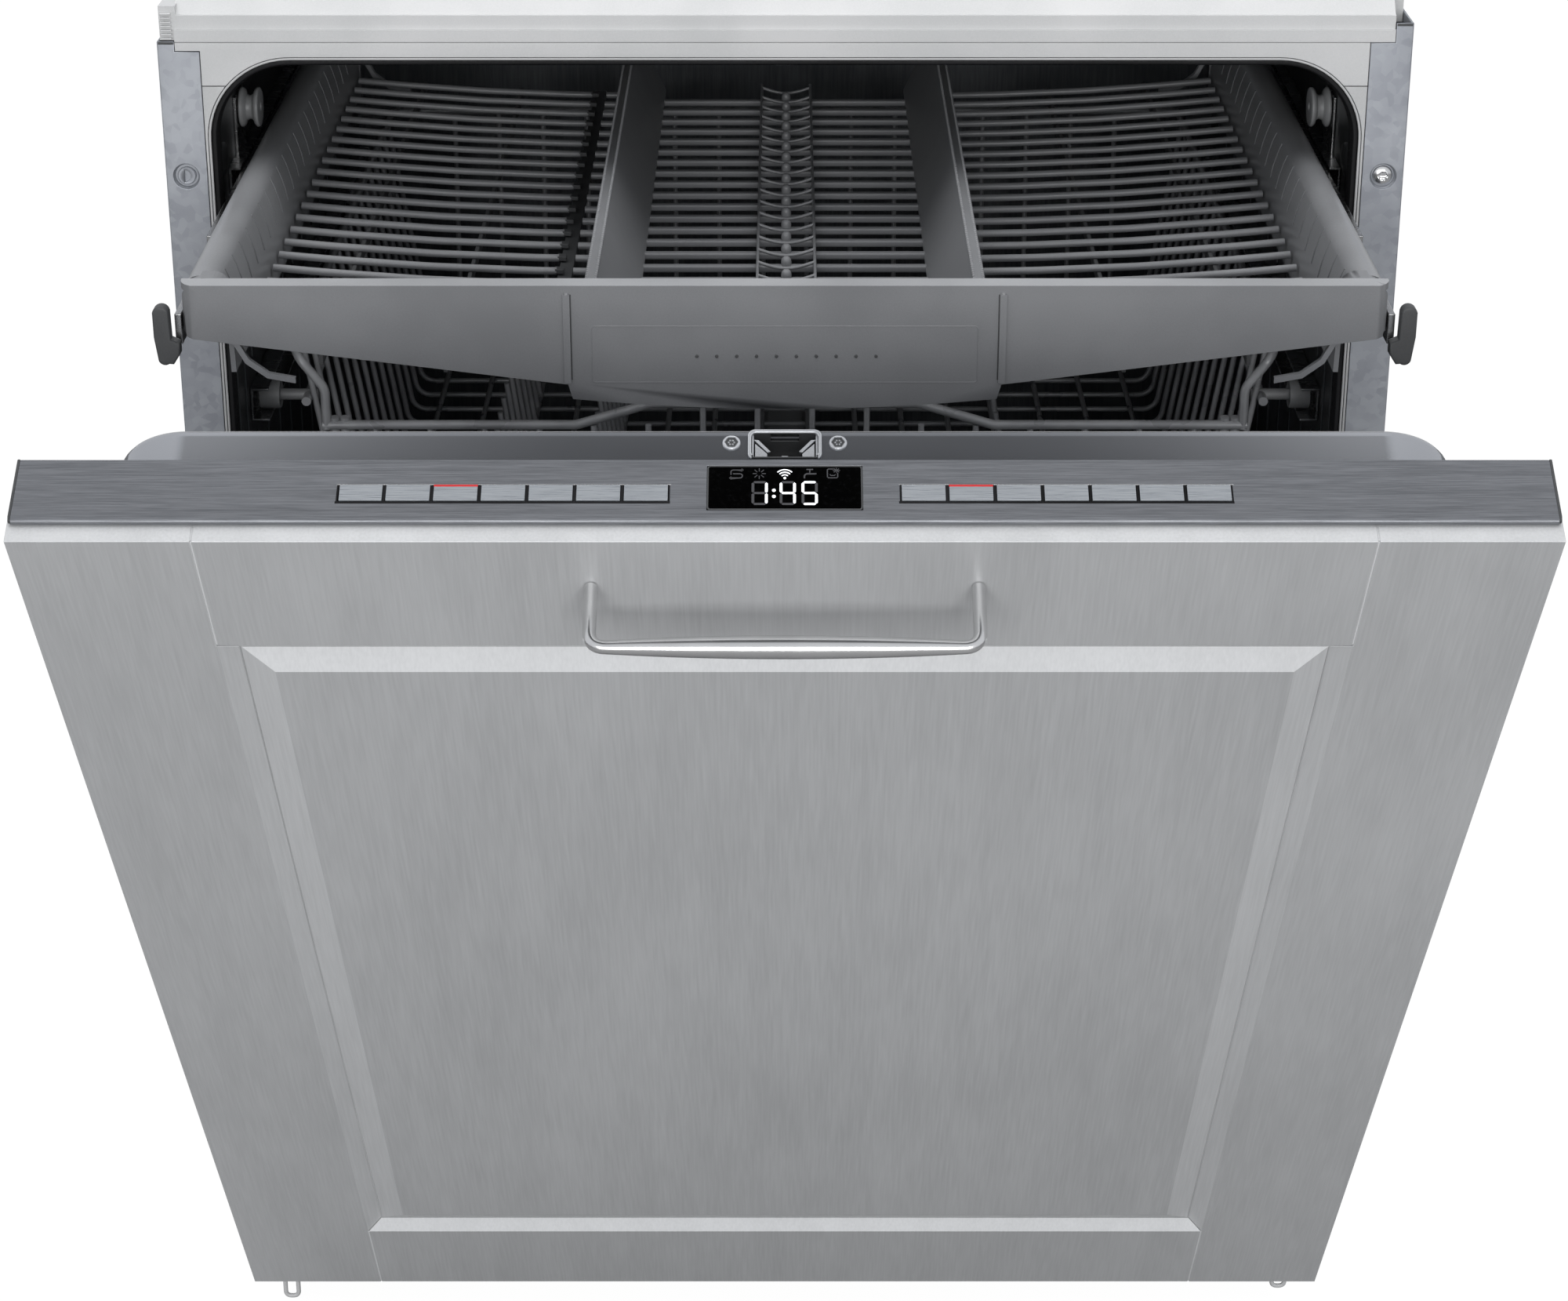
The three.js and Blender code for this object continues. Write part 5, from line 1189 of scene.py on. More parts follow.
def add_fascia():
    """The fascia's plate, the dark caps at its ends and the shadow under its lip."""
    soften_node("control_fascia", 0.3, "fascia")
    outline = [(8.2, 800.4), (37.1, 800.4), (37.1, 802.6), (36.6, 803.1), (9.8, 803.1),
               (8.2, 802.2)]
    for side, name in SIDES:
        cap = plate([outline], side * 297.25, side * 298.3, door, ALONG_X, 0.2)
        add_piece(f"fascia_cap_{name}", cap, "dark", "control_fascia")
    lip = tube([(-297, 8.05, 801.1), (297, 8.05, 801.1)], 0.55, door, 10)
    add_piece("fascia_lip_shadow", lip, "dark", "control_fascia")


def pan_ring(shrink, e, steps=14):
    """The pan's outline at a depth, drawn in by shrink."""
    outline = rounded(-PAN_HALF + shrink, PAN_HALF - shrink, PAN_FOOT + shrink,
                      PAN_HEAD - shrink, PAN_RADIUS - shrink, steps=steps)
    return [(u, e, v) for u, v in outline]


def add_liner():
    """The inner door: a drawn pan with softly rounded edges in front of a flat flange, and a painted highlight
    along the pan's upper rim.
    """
    inner = [(4.9, 65.6), (3.3, 65.3), (2.1, 64.4), (1.5, 62.3), (0.8, 37.9)]
    outer = [(0, 37.9), (0.7, 62.5), (1.15, 64.7), (1.9, 65.7), (3.0, 66.2), (4.4, 66.4)]
    pan = skin([pan_ring(*ring) for ring in inner + outer], door)
    latch_opening = block(-14.1, 14.1, 51.2, 64.8, 779, 788, door, 0)
    dispenser_opening = block(-95.3, 70.3, 61, 71, 409.7, 540.3, door, 0)
    cutters = [latch_opening, dispenser_opening, block(*LATCH_SLOT, door, 0)]
    flange = plate([[(-294, 176), (294, 176), (294, 795), (-294, 795)]], -38.3, -37.5, door,
                   ALONG_Y, 0.3)
    bead = tube([(u, 64.5, v) for u, v in rounded(-240, 240, 232, 748, 40)], 2.9, door, 16,
                closed=True)
    mesh = joined(carved(pan, *cutters), flange)
    add_piece("door_liner_pan", mesh, "liner", "door_liner", ("door_liner",))
    add_piece("door_liner_bead", bead, "liner", "door_liner")
    # A bright line along the pan's upper rounded rim: a painted highlight.
    edge = tube([point for point in pan_ring(2.3, 65.75, 20) if point[2] > 600], 0.45, door, 8)
    add_piece("door_liner_edge", edge, "bright", "door_liner")


def latch_band(far_half, far, far_z, near_half, near, near_z, drop):
    """A plate of the latch's mouth that is the same on both sides of the middle."""
    return slab([(-far_half, far, far_z), (far_half, far, far_z), (near_half, near, near_z),
                 (-near_half, near, near_z)], drop)


def add_latch():
    """A chromed bezel round a stepped mouth, over a dark well."""
    bezel = plate([rounded(-14.7, 14.7, 50.3, 65.1, 3), rounded(-13.3, 13.3, 51.9, 63.5, 2.2)],
                  783.6, 784.9, door, ALONG_Z, 0.5, 4)
    bezel = carved(bezel, block(-13.2, 13.2, 49, 52.4, 780, 788, door, 0))
    add_piece("latch_bezel", bezel, "latch_rim", "door_latch", ("door_latch",))
    well = carved(block(-13.8, 13.8, 51.5, 64.5, 768, 784, door, 0.3),
                  block(-13.1, 13.1, 52.1, 63.9, 769, 790, door, 0),
                  block(*LATCH_SLOT, door, 0))
    add_piece("latch_well", well, "dark", "door_latch")

    plates = [latch_band(10.4, 63.6, 783.7, 5.5, 59.4, 781.7, 0.8),
              latch_band(7.2, 62.5, 783.6, 6.6, 61.7, 783.2, 0.6)]
    front = 50.6
    halves = (
        (0.8, [(12.4, 60.9, 783.5), (10.4, 60.9, 783.2), (5.6, 56.5, 781.4), (6.9, 55.5, 782.2)]),
        (0.9, [(11.8, 59.0, 783.4), (7.0, 54.6, 782.6), (6.9, front, 782.4),
               (11.8, front, 783.2)]),
        (0.9, [(6.2, 56.9, 781.3), (1.1, 56.9, 781.3), (1.1, front, 781.9), (6.8, front, 781.9)]),
        (1, [(13.1, 63.6, 783.6), (12.3, 63.6, 783.4), (12.3, front, 783.0),
             (13.1, front, 783.4)]),
    )
    plates += [slab([(side * x, e, z) for x, e, z in tops], drop)
               for side in (-1, 1) for drop, tops in halves]
    plates.append(latch_band(1.3, 53.5, 782.6, 1.3, front, 782.9, 1))
    mouth = carved(joined(*plates), block(-5.7, 5.7, 61.4, 70, 776, 790, door, 0))
    add_piece("latch_mouth", mouth, "latch", "door_latch")


def add_liner_screws():
    """A flanged screw with a star socket on each side of the latch; a dark disc of painted shade lies at the
    bottom of each socket.
    """
    for side, name in SIDES:
        x, e, z = side * 21.2, 59, 783.6
        head = turned([(0, z - 0.6), (3.65, z - 0.6), (3.65, z + 0.1), (3.45, z + 0.55),
                       (3.0, z + 0.8), (0, z + 0.85)], door, ALONG_Z, (x, e, 0), 40)
        socket = plate([circle(0, 0, 2.7, 6)], z + 0.15, z + 2.4, door, ALONG_Z, 0.05)
        socket = shifted(socket, door, x, e, 0)
        star = [turned([(0, z), (0.5, z), (0.35, z + 0.6), (0, z + 0.7)], door, ALONG_Z,
                       (x + 1.1 * math.cos(turn), e + 1.1 * math.sin(turn), 0), 10)
                for turn in [TAU * k / 6 for k in range(6)]]
        # A dark disc at the bottom of the socket: painted shade in the recess.
        floor = plate([circle(0, 0, 2.65, 6)], z, z + 0.25, door, ALONG_Z, 0.02)
        floor = shifted(floor, door, x, e, 0)
        add_piece(f"liner_screw_{name}", carved(head, socket), "latch_rim", "door_latch")
        add_piece(f"liner_screw_{name}_floor", floor, "dark", "door_latch")
        add_piece(f"liner_screw_{name}_star", star, "latch", "door_latch")


def add_handle():
    """A bent bar that swells towards its middle."""
    half, out, foot, bend, height = 75.6, -28.6, -0.3, 7, 770
    corners = [(-half, foot, height), (-half, out, height), (half, out, height),
               (half, foot, height)]
    course = bent(corners, bend, 10)
    turn = len(course) // 2
    reach = half - bend
    straight = [Vector((reach * (k / 20 - 1), out, height)) for k in range(1, 40)]
    path = course[:turn] + straight + course[turn:]
    radii = [2.7 + (1.9 * (1 - (p.x / reach) ** 2) if abs(p.x) < reach else 0) for p in path]
    add_piece("handle_bar", tube(path, radii, door, 28), "handle", "handle", ("handle",))


def paint_light_on_slopes(piece):
    """Paints light on the mouldings that slope up or sideways in the door's face: lighter copies of the panel
    facing, a painted highlight on the upward slopes and painted light on the sideways ones.
    """
    for finish in ("panel_slope", "panel_side"):
        piece.data.materials.append(FINISHES[finish])
    up = (door(0, 0, 1) - door(0, 0, 0)).normalized()
    out = (door(0, 0, 0) - door(0, 1, 0)).normalized()
    for face in piece.data.polygons:
        # faces sloping up get the painted highlight, faces sloping sideways the painted light
        if face.normal.dot(out) > 0.5:
            if face.normal.dot(up) > 0.2:
                face.material_index = 1
            elif abs(face.normal.x) > 0.2:
                face.material_index = 2


def add_seams():
    """Fillets at the foot of the mouldings and in the joints between the boards; the joint fillets are drawn
    lighter, as a painted highlight.
    """
    field, depth, seam = 219.9, 5.1, 227.6      # half widths, and how deep the field lies
    ring = tube([(-field, depth, 146.7), (-field, depth, 719.3), (field, depth, 719.3),
                 (field, depth, 146.7)], 0.55, door, 8, closed=True)
    joints = [tube([(side * seam, 0.55, z0), (side * seam, 0.55, z1)], 0.42, door, 8)
              for side in (-1, 1) for z0, z1 in ((68.6, 138.6), (727.4, 799.2))]
    tops = [tube([(side * seam, 0.6, 799.45), (side * seam, 17.4, 799.45)], 0.4, door, 8)
            for side in (-1, 1)]
    add_piece("panel_moulding_fillet", [ring, *tops], "panel", "panel_field")
    # the joint fillets are lighter than the panel: a painted highlight along the joints
    add_piece("panel_joints", joints, "panel_slope", "panel_field")


def add_door_shell():
    """The boards of the panel, their seams, the door's frame, the dispenser and the screws."""
    for node in ("panel_stile_left", "panel_stile_right", "panel_rail_top", "panel_rail_bottom",
                 "panel_field"):
        # the boards' upward and sideways slopes get painted light
        paint_light_on_slopes(soften_node(node, 0.4, "panel", sharp=12))
    add_seams()
    soften_node("door_frame", 0.4, "galvanised")
    soften_node("dispenser_body", 0.8, "grey")
    soften_node("dispenser_lid", 0.8, "grey")
    for side, name in SIDES:
        profile = [(0, side * -0.4), (3.5, side * -0.4), (3.4, side * 0.5), (2.2, side * 1.2),
                   (0, side * 1.3)]
        screws = [turned(profile, door, ALONG_X, (side * 294, 29, z), 24)
                  for z in (260, 420, 580, 720)]
        add_piece(f"door_frame_screws_{name}", screws, "bright", "door_frame")


add_door_shell()
add_fascia()
add_display()
add_keys()
add_liner()
add_latch()
add_liner_screws()
add_handle()

# ----------------------------------------
# Top tray, drawn pushed home
# ----------------------------------------

TRAY_FRONT, TRAY_RIM = 31.2, 735
TRAY_INNER = (50, 495)      # where the floor's long strips start and end
SLAT_ROWS = [57 + 19.2 * k for k in range(23)]
# The side floors rise from the dividers to the walls: distance from the middle, height.
FLOOR_LINE = [(88, 694.8), (120, 695.4), (170, 697.6), (215, 701), (240.5, 703.4)]


def floor_height(x):
    """The height of the side floor at a distance from the middle."""
    for (x0, z0), (x1, z1) in zip(FLOOR_LINE, FLOOR_LINE[1:]):
        if abs(x) <= x1:
            break
    return z0 + (z1 - z0) * (abs(x) - x0) / (x1 - x0)


def along_tray(section, y0, y1):
    """A solid with one section, given as (distance from the middle, height), on each side."""
    return [skin([[(side * u, y, v) for u, v in section] for y in (y0, y1)], tray)
            for side in (-1, 1)]


def add_tray_shell():
    """The moulded frame: front, back, rounded rims with thin walls under them, and dividers; the rims, the divider
    beads and the front rim's top get lighter copies of the moulding as painted light.
    """
    shell = softened("top_tray", 0.35, sharp=35)
    under, over, front, corner = 670, 740, 51.6, 236
    room = block(-241.9, 241.9, front, 496.5, under, 729.5, tray, 0)
    back = block(-corner, corner, 478, 505, 712, over, tray, 0)
    sides = [block(side * corner, side * 266, front, 488, under, over, tray, 0)
             for side in (-1, 1)]
    undercut = along_tray([(97, under), (97, 690), (150, 697), (200, 704), (235, 710),
                           (259, 712.5), (265, 712.5), (265, under)], 34.7, 53)
    shell = carved(shell, room, back, *sides, *undercut)
    piece = add_piece("tray_shell", shell, "tray", "top_tray", ("top_tray",))
    piece.data.materials.append(FINISHES["tray_edge"])
    # faces that point up along the front rim get the painted highlight
    limit = tray(0, 46, TRAY_RIM - 3)
    for face in piece.data.polygons:
        if face.normal.z > 0.35 and face.center.z > limit.z and face.center.y < limit.y:
            face.material_index = 1

    rim = ([(262.2, 716), (262.2, 728)] + arc(255.7, 728.4, 6.5, 0, 90, 10)
           + arc(254.9, 726.9, 8, 92, 160, 8)
           + [(246.0, 725.5), (244.6, 720), (243.2, 712), (242.2, 704), (241.8, 690),
              (244.0, 690), (244.4, 704), (245.4, 712), (246.8, 720), (248.8, 727),
              (251.4, 731.2), (255.6, 732.4), (259, 730.8), (260, 728), (260, 716)])
    # the rims take the lighter tray moulding: painted light on their lit tops
    add_piece("tray_rims", along_tray(rim, 45, 492), "tray_light", "top_tray")

    head = 728
    divider = [(89.6, 691), (88.4, head - 1.2), (87.4, head), (83.9, head), (82.8, head - 1.2),
               (76, 711), (67.8, 692.6), (67.8, 690.6)]
    add_piece("tray_dividers", along_tray(divider, 48, 494), "tray", "top_tray")
    start, inner, outer = TRAY_INNER[0], 83.6, 87.7
    bead = turned([(0, head - 1.2), (0.7, head - 0.9), (0.9, head - 0.3), (0.6, head + 0.35),
                   (0, head + 0.5)], tray, ALONG_Z, (-inner, start, 0), 8)
    places = [tray(side * x, start + 3 * k, 0) for side in (-1, 1) for x in (inner, outer)
              for k in range(148)]
    # the divider beads take the lighter tray moulding: a painted highlight along the divider tops
    add_row("tray_divider_beads", bead, places, "tray_light", "top_tray")


def add_slats():
    """Rounded slats that follow the floor line, the stepped groove and the keels below."""
    spans = (("left", (-241, -215, -170, -120, -109)), ("groove", (-101, -88)),
             ("right", (88, 120, 170, 215, 241)))
    first, radius = SLAT_ROWS[0], 1.8
    places = [tray(0, y, 0) for y in SLAT_ROWS]
    for name, stations in spans:
        path = [(x, first, floor_height(x) - radius) for x in stations]
        slat = tube(bent(path, 6), radius, tray, 14)
        # the slats take the lighter tray moulding: painted light on their lit tops
        add_row(f"tray_slats_{name}", slat, places, "tray_light", "top_tray")
    strip = block(-108.4, -101.6, *TRAY_INNER, 688.6, 691.6, tray, 0.4)
    tooth = slab([(-109.8, first + 3.6, 694.7), (-105.4, first + 2.2, 694.7),
                  (-105.4, first - 2.4, 694.7), (-109.8, first - 1.6, 694.7)], 2.2, tray, 0.25)
    add_piece("tray_groove", [strip, row(tooth, places, "dark")], "dark", "top_tray")
    keels = [block(x - 1, x + 1, *TRAY_INNER, floor_height(x) - 9, floor_height(x) - 3.4, tray,
                   0.4) for x in (-205, -150, 150, 205)]
    add_piece("tray_keels", keels, "dark", "top_tray")


def add_stud_rows():
    """The middle floor: cross bars, two ribs with sagging webs between them and round studs."""
    low, high, steps = -13, 14.4, 10
    first = SLAT_ROWS[0] + 10
    places = [tray(0, y + 10, 0) for y in SLAT_ROWS[:-1]]
    ribs = [block(x - 0.7, x + 0.7, TRAY_INNER[0], 492, 690.6, 696.6, tray, 0.5)
            for x in (low, high)]
    shares = [k / steps for k in range(steps + 1)]
    arcs = [[(low + (high - low) * t, y + 5, 696.2 - 3.2 * math.sin(math.pi * t)) for t in shares]
            for y in SLAT_ROWS]
    dome = turned([(0, 690.8), (2.5, 690.8), (2.5, 694.8), (2.2, 696.2), (1.4, 697.1), (0, 697.4)],
                  tray, ALONG_Z, (0.7, first, 0), 16)
    bar = block(-69, 69, first - 2, first + 2, 689.6, 693.2, tray, 1)
    add_piece("tray_stud_ribs", ribs, "tray", "top_tray")
    # the webs and studs take the lighter tray moulding: painted light
    add_wires("tray_webs", arcs, 0.85, 0, "tray_light", "top_tray", place=tray)
    add_row("tray_studs", dome, places, "tray_light", "top_tray")
    add_row("tray_middle_bars", bar, places, "tray", "top_tray")


def add_wall_ribs():
    """A short thin rib on the inner side wall beside each slat."""
    head = 731
    rib = [(248.0, head), (246.3, 726.4), (244.4, 719.5), (243.3, 713)]
    lines = [[(side * x, y + 9 + (head - z) * 0.12, z) for x, z in rib]
             for side in (-1, 1) for y in SLAT_ROWS[:-1]]
    add_wires("tray_wall_ribs", lines, 0.45, 0, "tray", "top_tray", place=tray)


def add_tray_front():
    """Mouldings of the tray's front: ribs, a raised panel outline and a row of dots, with dark strips of painted
    shade in the grooves beside the ribs.
    """
    y = TRAY_FRONT
    ribs, grooves = [], []
    for side in (-1, 1):
        x = side * 94.7
        ribs.append(tube(bent([(x, y + 0.6, 731.8), (x, y + 0.2, 729), (x, y + 0.2, 694),
                               (x, y + 0.6, 690.4)], 1.5), 1.35, tray, 14))
        # dark strips beside the ribs: painted shade in the grooves
        grooves.append(block(side * 92.6, side * 93.4, y - 0.06, y + 1, 691.5, 731, tray, 0.02))
    add_piece("tray_front_grooves", grooves, "dark", "top_tray")
    outline = tube([(u, y + 0.08, v) for u, v in rounded(-84, 84, 690.4, 716.5, 1.5)], 0.26,
                   tray, 6, closed=True)
    first, pitch, height = -38.3, 8.67, 702.5
    dot = turned([(0, -0.2), (0.85, -0.2), (0.7, 0.35), (0, 0.45)], tray, ALONG_Y,
                 (first, y, height), 14)
    places = [tray(first + pitch * k, y, height) for k in range(10)]
    add_piece("tray_front_ribs", ribs, "tray", "top_tray")
    add_piece("tray_front_outline", outline, "tray", "top_tray")
    add_row("tray_front_dots", dot, places, "dark", "top_tray")


def add_runner(side):
    """The bar beside the tray and the stop at its end, a paddle with a slanted foot."""
    name = "tray_runner_right" if side > 0 else "tray_runner_left"
    near = 262.9
    bar = block(side * near, side * 266.0, 37, 492, 706, 720, tray, 0.5)
    add_piece(f"{name}_bar", bar, "rail", name, (name,))
    outline = ([(near, 704.2), (265.9, 699.6)] + arc(269.6, 702.3, 3.1, 235, 340, 8)
               + [(273.9, 712)] + arc(270.4, 722.6, 3.6, 10, 170, 10)
               + [(266.6, 711), (near, 709.4)])
    paddle = plate([[(side * u, v) for u, v in outline]], -(TRAY_FRONT + 3.4),
                   -(TRAY_FRONT - 2.9), tray, ALONG_Y, 0.9, 3)
    add_piece(f"{name}_paddle", paddle, "dark", name)


add_tray_shell()
add_slats()
add_stud_rows()
add_wall_ribs()
add_tray_front()
add_runner(-1)
add_runner(1)

# ----------------------------------------
# Wire racks, spray arms and filter, drawn pushed home
# ----------------------------------------

WIRE, RIM_WIRE, WIRE_BEND = 1.6, 2.5, 9
TINES, FINER_TINES = 5, 3       # a row has five places, each pitch divided in three


def spaced(low, high, count):
    """Evenly spaced values from low to high."""
    return [low + (high - low) * k / (count - 1) for k in range(count)]


def mirrored(line):
    """A line on the other side of the middle plane."""
    return [(-x, y, z) for x, y, z in line]


def basket_lines(front, back, rim, front_rim, floor, half, foot_half, across, along, tines):
    """Lines of a basket: bent across, bent from front to back, and the rows of tines."""
    lift = 1.6 * WIRE
    lines = []
    for y in spaced(front + 26, back - 26, across):
        lines.append([(-half, y, rim), (-foot_half, y, floor), (foot_half, y, floor),
                      (half, y, rim)])
    for x in spaced(-foot_half + 16, foot_half - 16, along):
        lines.append([(x, front, front_rim(x)), (x, front + 10, floor + lift),
                      (x, back - 10, floor + lift), (x, back, rim)])
    for x in tines["rows"]:
        lines.append([(x, front + 18, floor + lift), (x, back - 18, floor + lift)])
        for y in spaced(front + 60, front + 60 + tines["pitch"] * (TINES - 1),
                        (TINES - 1) * FINER_TINES + 1):
            lines.append([(x, y, floor + lift), (x + tines["lean"], y, floor + tines["height"])])
    return lines


def add_rack_wires(rack, lines, rims):
    """A rack's basket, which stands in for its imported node, and its thicker rims."""
    add_wires(f"{rack}_basket", lines, WIRE, WIRE_BEND, "wire", rack, (rack,))
    add_wires(f"{rack}_rims", rims, RIM_WIRE, WIRE_BEND, "wire", rack)


def wheel(x0, x1, y, z, radius):
    """A roller with a rim, a dished web and a hub."""
    middle, half = (x0 + x1) / 2, abs(x1 - x0) / 2
    shares = [(0, 0.5), (0.25, 1), (0.35, 1), (0.42, 0.4), (0.72, 0.4), (0.8, 0.9), (0.97, 0.9),
              (1, 0.6)]
    profile = [(radius * out, -half * along) for out, along in shares]
    profile += [(out, -along) for out, along in profile[::-1]]
    return turned(profile, body, ALONG_X, (middle, y, z), 32)


def axle(x, y, z, radius, half, sides):
    """A plain pin across the body."""
    profile = [(0, -half), (radius, -half), (radius, half), (0, half)]
    return turned(profile, body, ALONG_X, (x, y, z), sides)


def add_upper_rack():
    """A basket with a lower front, rollers at its sides and the water pipe under it."""
    front, back, rim, floor, half = 45, 485, 623, 477, 250
    narrow, low_rim, roller_z = half - 15, rim - 40, 588
    raised, grip, slope = low_rim + 12, 68, 107
    lines = basket_lines(front, back, rim, lambda x: raised if abs(x) < grip else low_rim, floor,
                         half, half - 24, 17, 16,
                         {"rows": [-150, -96, 125], "pitch": 68, "height": 62.5, "lean": -8})
    ear = [(narrow, front, low_rim - 2), (narrow, front, rim - 20), (half, front, rim)]
    step = [(narrow + 2, front, low_rim), (slope, front, low_rim), (grip, front, raised)]
    rims = [
        mirrored(ear) + [(-half, back, rim), (half, back, rim)] + ear[::-1],
        mirrored(step) + step[::-1],
    ]
    for side in (-1, 1):
        rims.append([(side * (half - 2), y, roller_z) for y in (front + 20, back - 30)])
        for inward in (4.2, 9.4):
            x = side * (narrow - inward)
            rims.append([(x, front + 1, low_rim + 4), (x, front + 6, floor + 6)])
    wheels = []
    for side in (-1, 1):
        for y in (front + 31, back - 60):
            wheels.append(wheel(side * 262, side * 273.5, y, roller_z, 7.4))
            wheels.append(axle(side * 254, y, roller_z, 3, 11, 16))
    hub = turned([(0, 439.9), (9, 440), (9, 443.6), (5, 443.6), (5, 453.3), (13.4, 453.4),
                  (14, 454), (14, 470), (12, 471), (0, 471)], body, ALONG_Z, (0, SPRAY_AXIS, 0),
                 32)
    pipe = block(-13, 13, SPRAY_AXIS - 16, 505, 464, 476, body, 3.5)
    add_rack_wires("upper_rack", lines, rims)
    add_piece("upper_rack_wheels", wheels, "grey", "upper_rack")
    add_piece("upper_rack_pipe", [hub, pipe], "grey", "upper_rack")


def add_lower_rack():
    """A deeper basket on four wheels."""
    front, back, floor, half = 49, 489, 223, 247
    rim, foot_half, wheel_z = floor + 124, half - 22, 208.4
    lines = basket_lines(front, back, rim, lambda x: rim - 14, floor, half, foot_half, 15, 18,
                         {"rows": [-150, -20, 120], "pitch": 74, "height": 84, "lean": 6})
    end = [(half, back, rim), (half, front, rim), (half, front, rim - 16)]
    rims = [mirrored(end)[::-1] + end,
            [(-half - 2, front, rim - 14), (half + 2, front, rim - 14)]]
    wheels = []
    for side in (-1, 1):
        for y in (front + 26 + 77.6, back - 26 - 77.6):
            wheels.append(wheel(side * 236.5, side * 245.5, y, wheel_z, 16.9))
            wheels.append(axle(side * 231, y, wheel_z, 4, 9, 20))
            wheels.append(block(side * foot_half - 3, side * foot_half + 3, y - 5, y + 5, 203,
                                floor + 8, body, 1.2))
    add_rack_wires("lower_rack", lines, rims)
    add_piece("lower_rack_wheels", wheels, "grey", "lower_rack")


def add_spray_arm(name, reach):
    """The arm's blade with soft edges, and a line of nozzles along it."""
    head = measured(name)[1].z
    soften_node(name, 1.6, "grey", segments=3, sharp=35)
    nozzle = turned([(0, head - 1.2), (4.2, head - 1.2), (3.9, head - 0.5), (2.4, head - 0.05),
                     (1.3, head - 0.2), (1.1, head - 1), (0, head - 1.1)],
                    body, ALONG_Z, (0, SPRAY_AXIS, 0), 20)
    places = [body(0, SPRAY_AXIS, 0)]
    for side in (-1, 1):
        places += [body(side * x, SPRAY_AXIS + side * 3, 0) for x in range(36, reach - 12, 26)]
    add_row(f"{name}_nozzles", nozzle, places, "dark", name)


def add_filter():
    """The filter's cylinder with upright ribs round it."""
    low, high = measured("filter_cylinder")
    soften_node("filter_cylinder", 0.7, "grey", sharp=40)
    x, y, count = 84, 170, 24
    ribs = [block(x - 0.6, x + 0.6, y + 36.4, y + 37.6, low.z + 4, high.z - 6, body, 0.2)]
    middle = body(x, y, 0)
    for k in range(1, count):
        turned_rib = ribs[0].copy()
        turned_rib.transform(Matrix.Translation(middle) @ Matrix.Rotation(TAU * k / count, 4, "Z")
                             @ Matrix.Translation(-middle))
        ribs.append(turned_rib)
    add_piece("filter_ribs", ribs, "grey", "filter_cylinder")


add_upper_rack()
add_lower_rack()
add_spray_arm("upper_spray_arm", 216)
add_spray_arm("lower_spray_arm", 228)
add_filter()

# ----------------------------------------
# Camera, light and room
# ----------------------------------------


def add_camera():
    """Above and in front of the machine, tilted down, its frame shifted to hold it all."""
    data = bpy.data.cameras.new("view")
    data.sensor_fit = "HORIZONTAL"
    data.sensor_width = 36
    data.lens = 73.7
    data.shift_x = -0.0005
    data.shift_y = -0.157
    data.clip_end = 20
    camera = bpy.data.objects.new("view", data)
    camera.location = body(0, -1485.4, 1191.6)
    camera.rotation_euler = (math.radians(90 - 21.32), 0, 0)
    bpy.context.scene.collection.objects.link(camera)
    bpy.context.scene.camera = camera


def add_area_light(name, place, target, width, height, power, mirrored=True):
    """A rectangular light in metres that faces its target."""
    data = bpy.data.lights.new(name, "AREA")
    data.shape = "RECTANGLE"
    data.size = width
    data.size_y = height
    data.energy = power
    light = bpy.data.objects.new(name, data)
    light.location = place
    light.rotation_euler = (Vector(target) - Vector(place)).to_track_quat("-Z", "Y").to_euler()
    light.visible_glossy = mirrored
    bpy.context.scene.collection.objects.link(light)


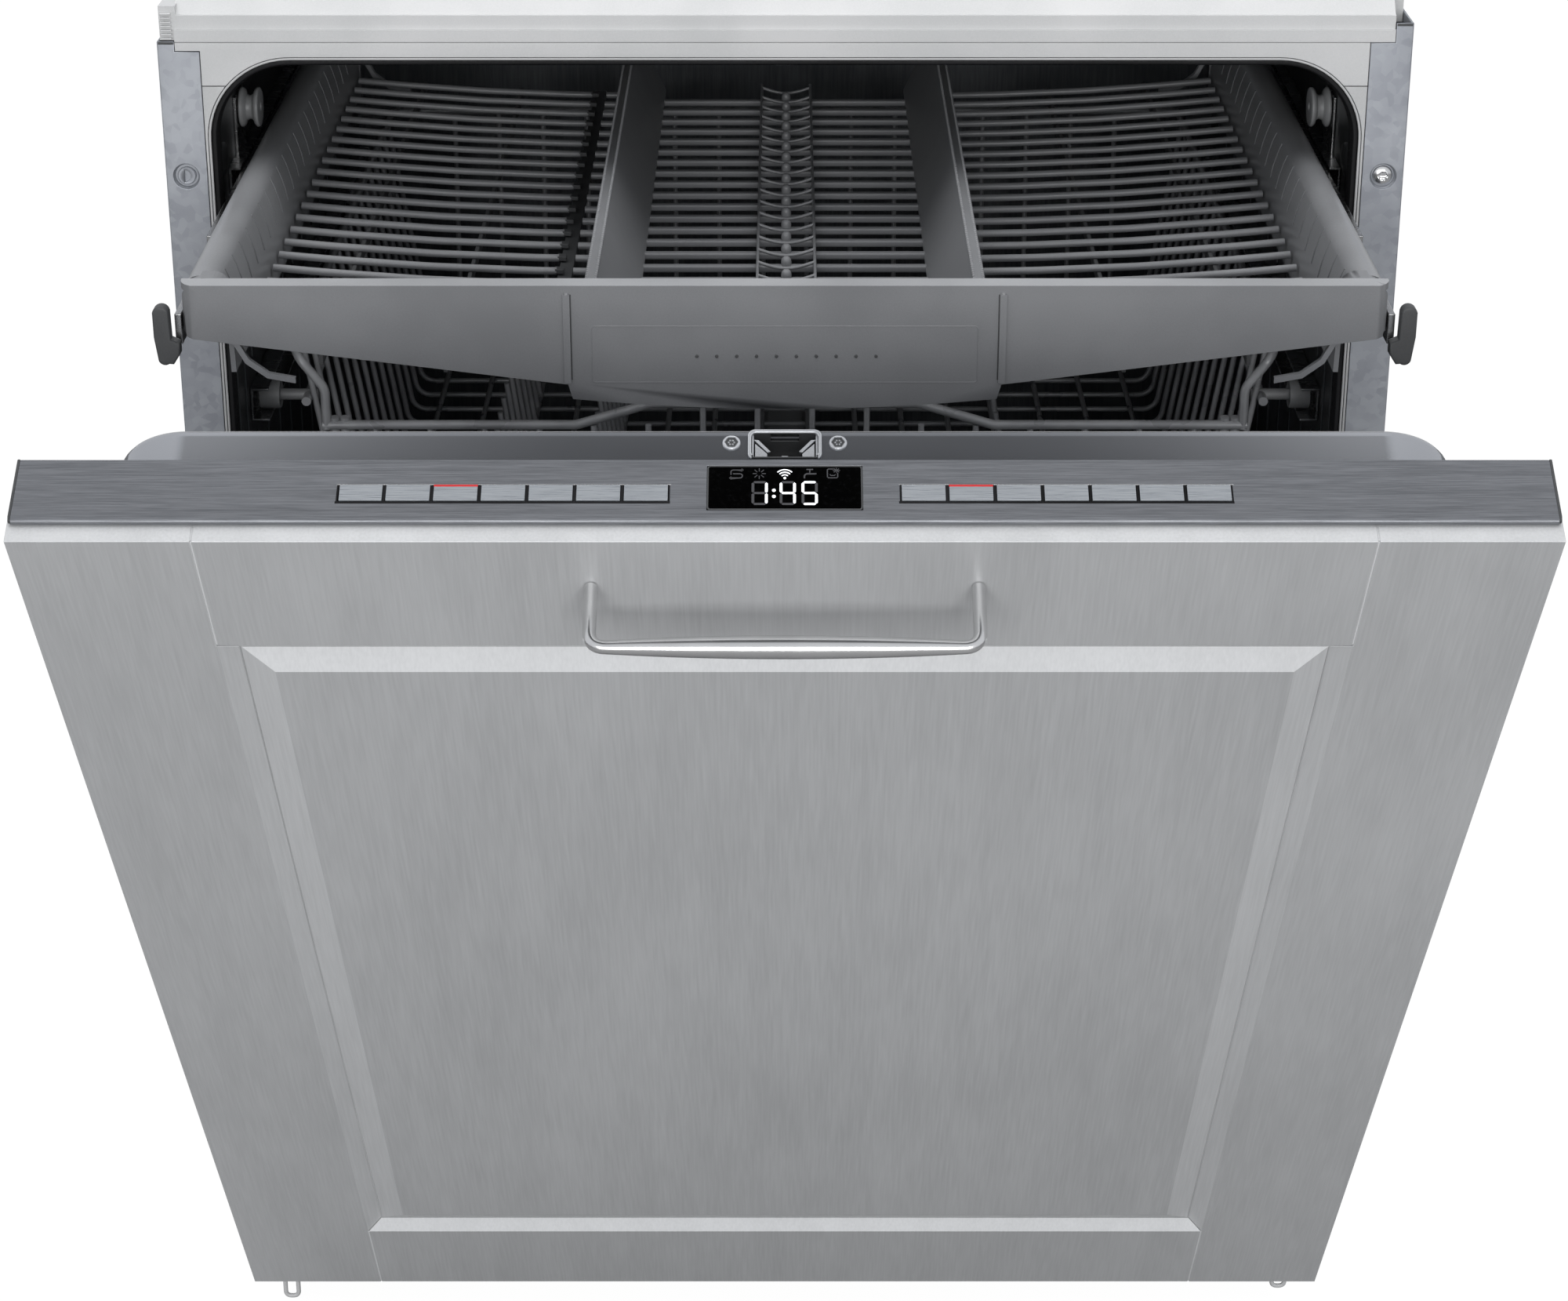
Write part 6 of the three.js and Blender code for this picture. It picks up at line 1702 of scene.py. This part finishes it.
def show_camera(graph, output, share, others, camera):
    """Mixes a shader that only the camera sees, by a share, into the one for all other light."""
    factor = graph.node("ShaderNodeLightPath")["Is Camera Ray"] * share
    mixed = graph.node("ShaderNodeMixShader", None, [factor, others, camera])
    graph.plug(graph.tree.nodes.new(output).inputs["Surface"], mixed["Shader"])


def add_floor():
    """A pale floor that the camera sees almost white, with the object's shadow on it."""
    bm = bmesh.new()
    bmesh.ops.create_grid(bm, x_segments=1, y_segments=1, size=8.0)
    mesh = bpy.data.meshes.new("floor")
    bm.to_mesh(mesh)
    bm.free()
    floor = bpy.data.objects.new("floor", mesh)
    bpy.context.scene.collection.objects.link(floor)
    material = bpy.data.materials.new("pale_floor")
    material.use_nodes = True
    graph = Graph(material.node_tree)
    graph.tree.nodes.clear()
    diffuse = graph.node("ShaderNodeBsdfDiffuse", None, {"Color": (0.27, 0.27, 0.27, 1)})
    glow = graph.node("ShaderNodeEmission", None, {"Color": (1, 1, 1, 1), "Strength": 1.22})
    show_camera(graph, "ShaderNodeOutputMaterial", 0.8, diffuse["BSDF"], glow["Emission"])
    mesh.materials.append(material)


def add_world():
    """Plain white to the camera; a soft room that is dark straight overhead to everything else."""
    world = bpy.data.worlds.new("studio")
    bpy.context.scene.world = world
    world.use_nodes = True
    graph = Graph(world.node_tree)
    graph.tree.nodes.clear()
    direction = graph.node("ShaderNodeTexCoord")["Generated"]
    parts = graph.node("ShaderNodeSeparateXYZ", None, [direction])
    aside = (parts["X"] * parts["X"] + parts["Y"] * parts["Y"]) ** 0.5
    level = aside.fade(0.03, 0.46, 0.015, 0.68)
    soft = graph.node("ShaderNodeBackground", None, {"Color": (0.94, 0.96, 1.0, 1),
                                                     "Strength": level})
    white = graph.node("ShaderNodeBackground", None, {"Color": (1, 1, 1, 1), "Strength": 1.0})
    show_camera(graph, "ShaderNodeOutputWorld", 1.0, soft["Background"], white["Background"])


add_camera()
add_world()
add_floor()
add_area_light("overhead", body(0, -100, 2600), body(0, -100, 0), 2.4, 1.8, 36, mirrored=False)
add_area_light("front", body(0, -3700, 1250), body(0, -200, 450), 3.0, 1.6, 80)

scene = bpy.context.scene
scene.view_settings.view_transform = "Standard"
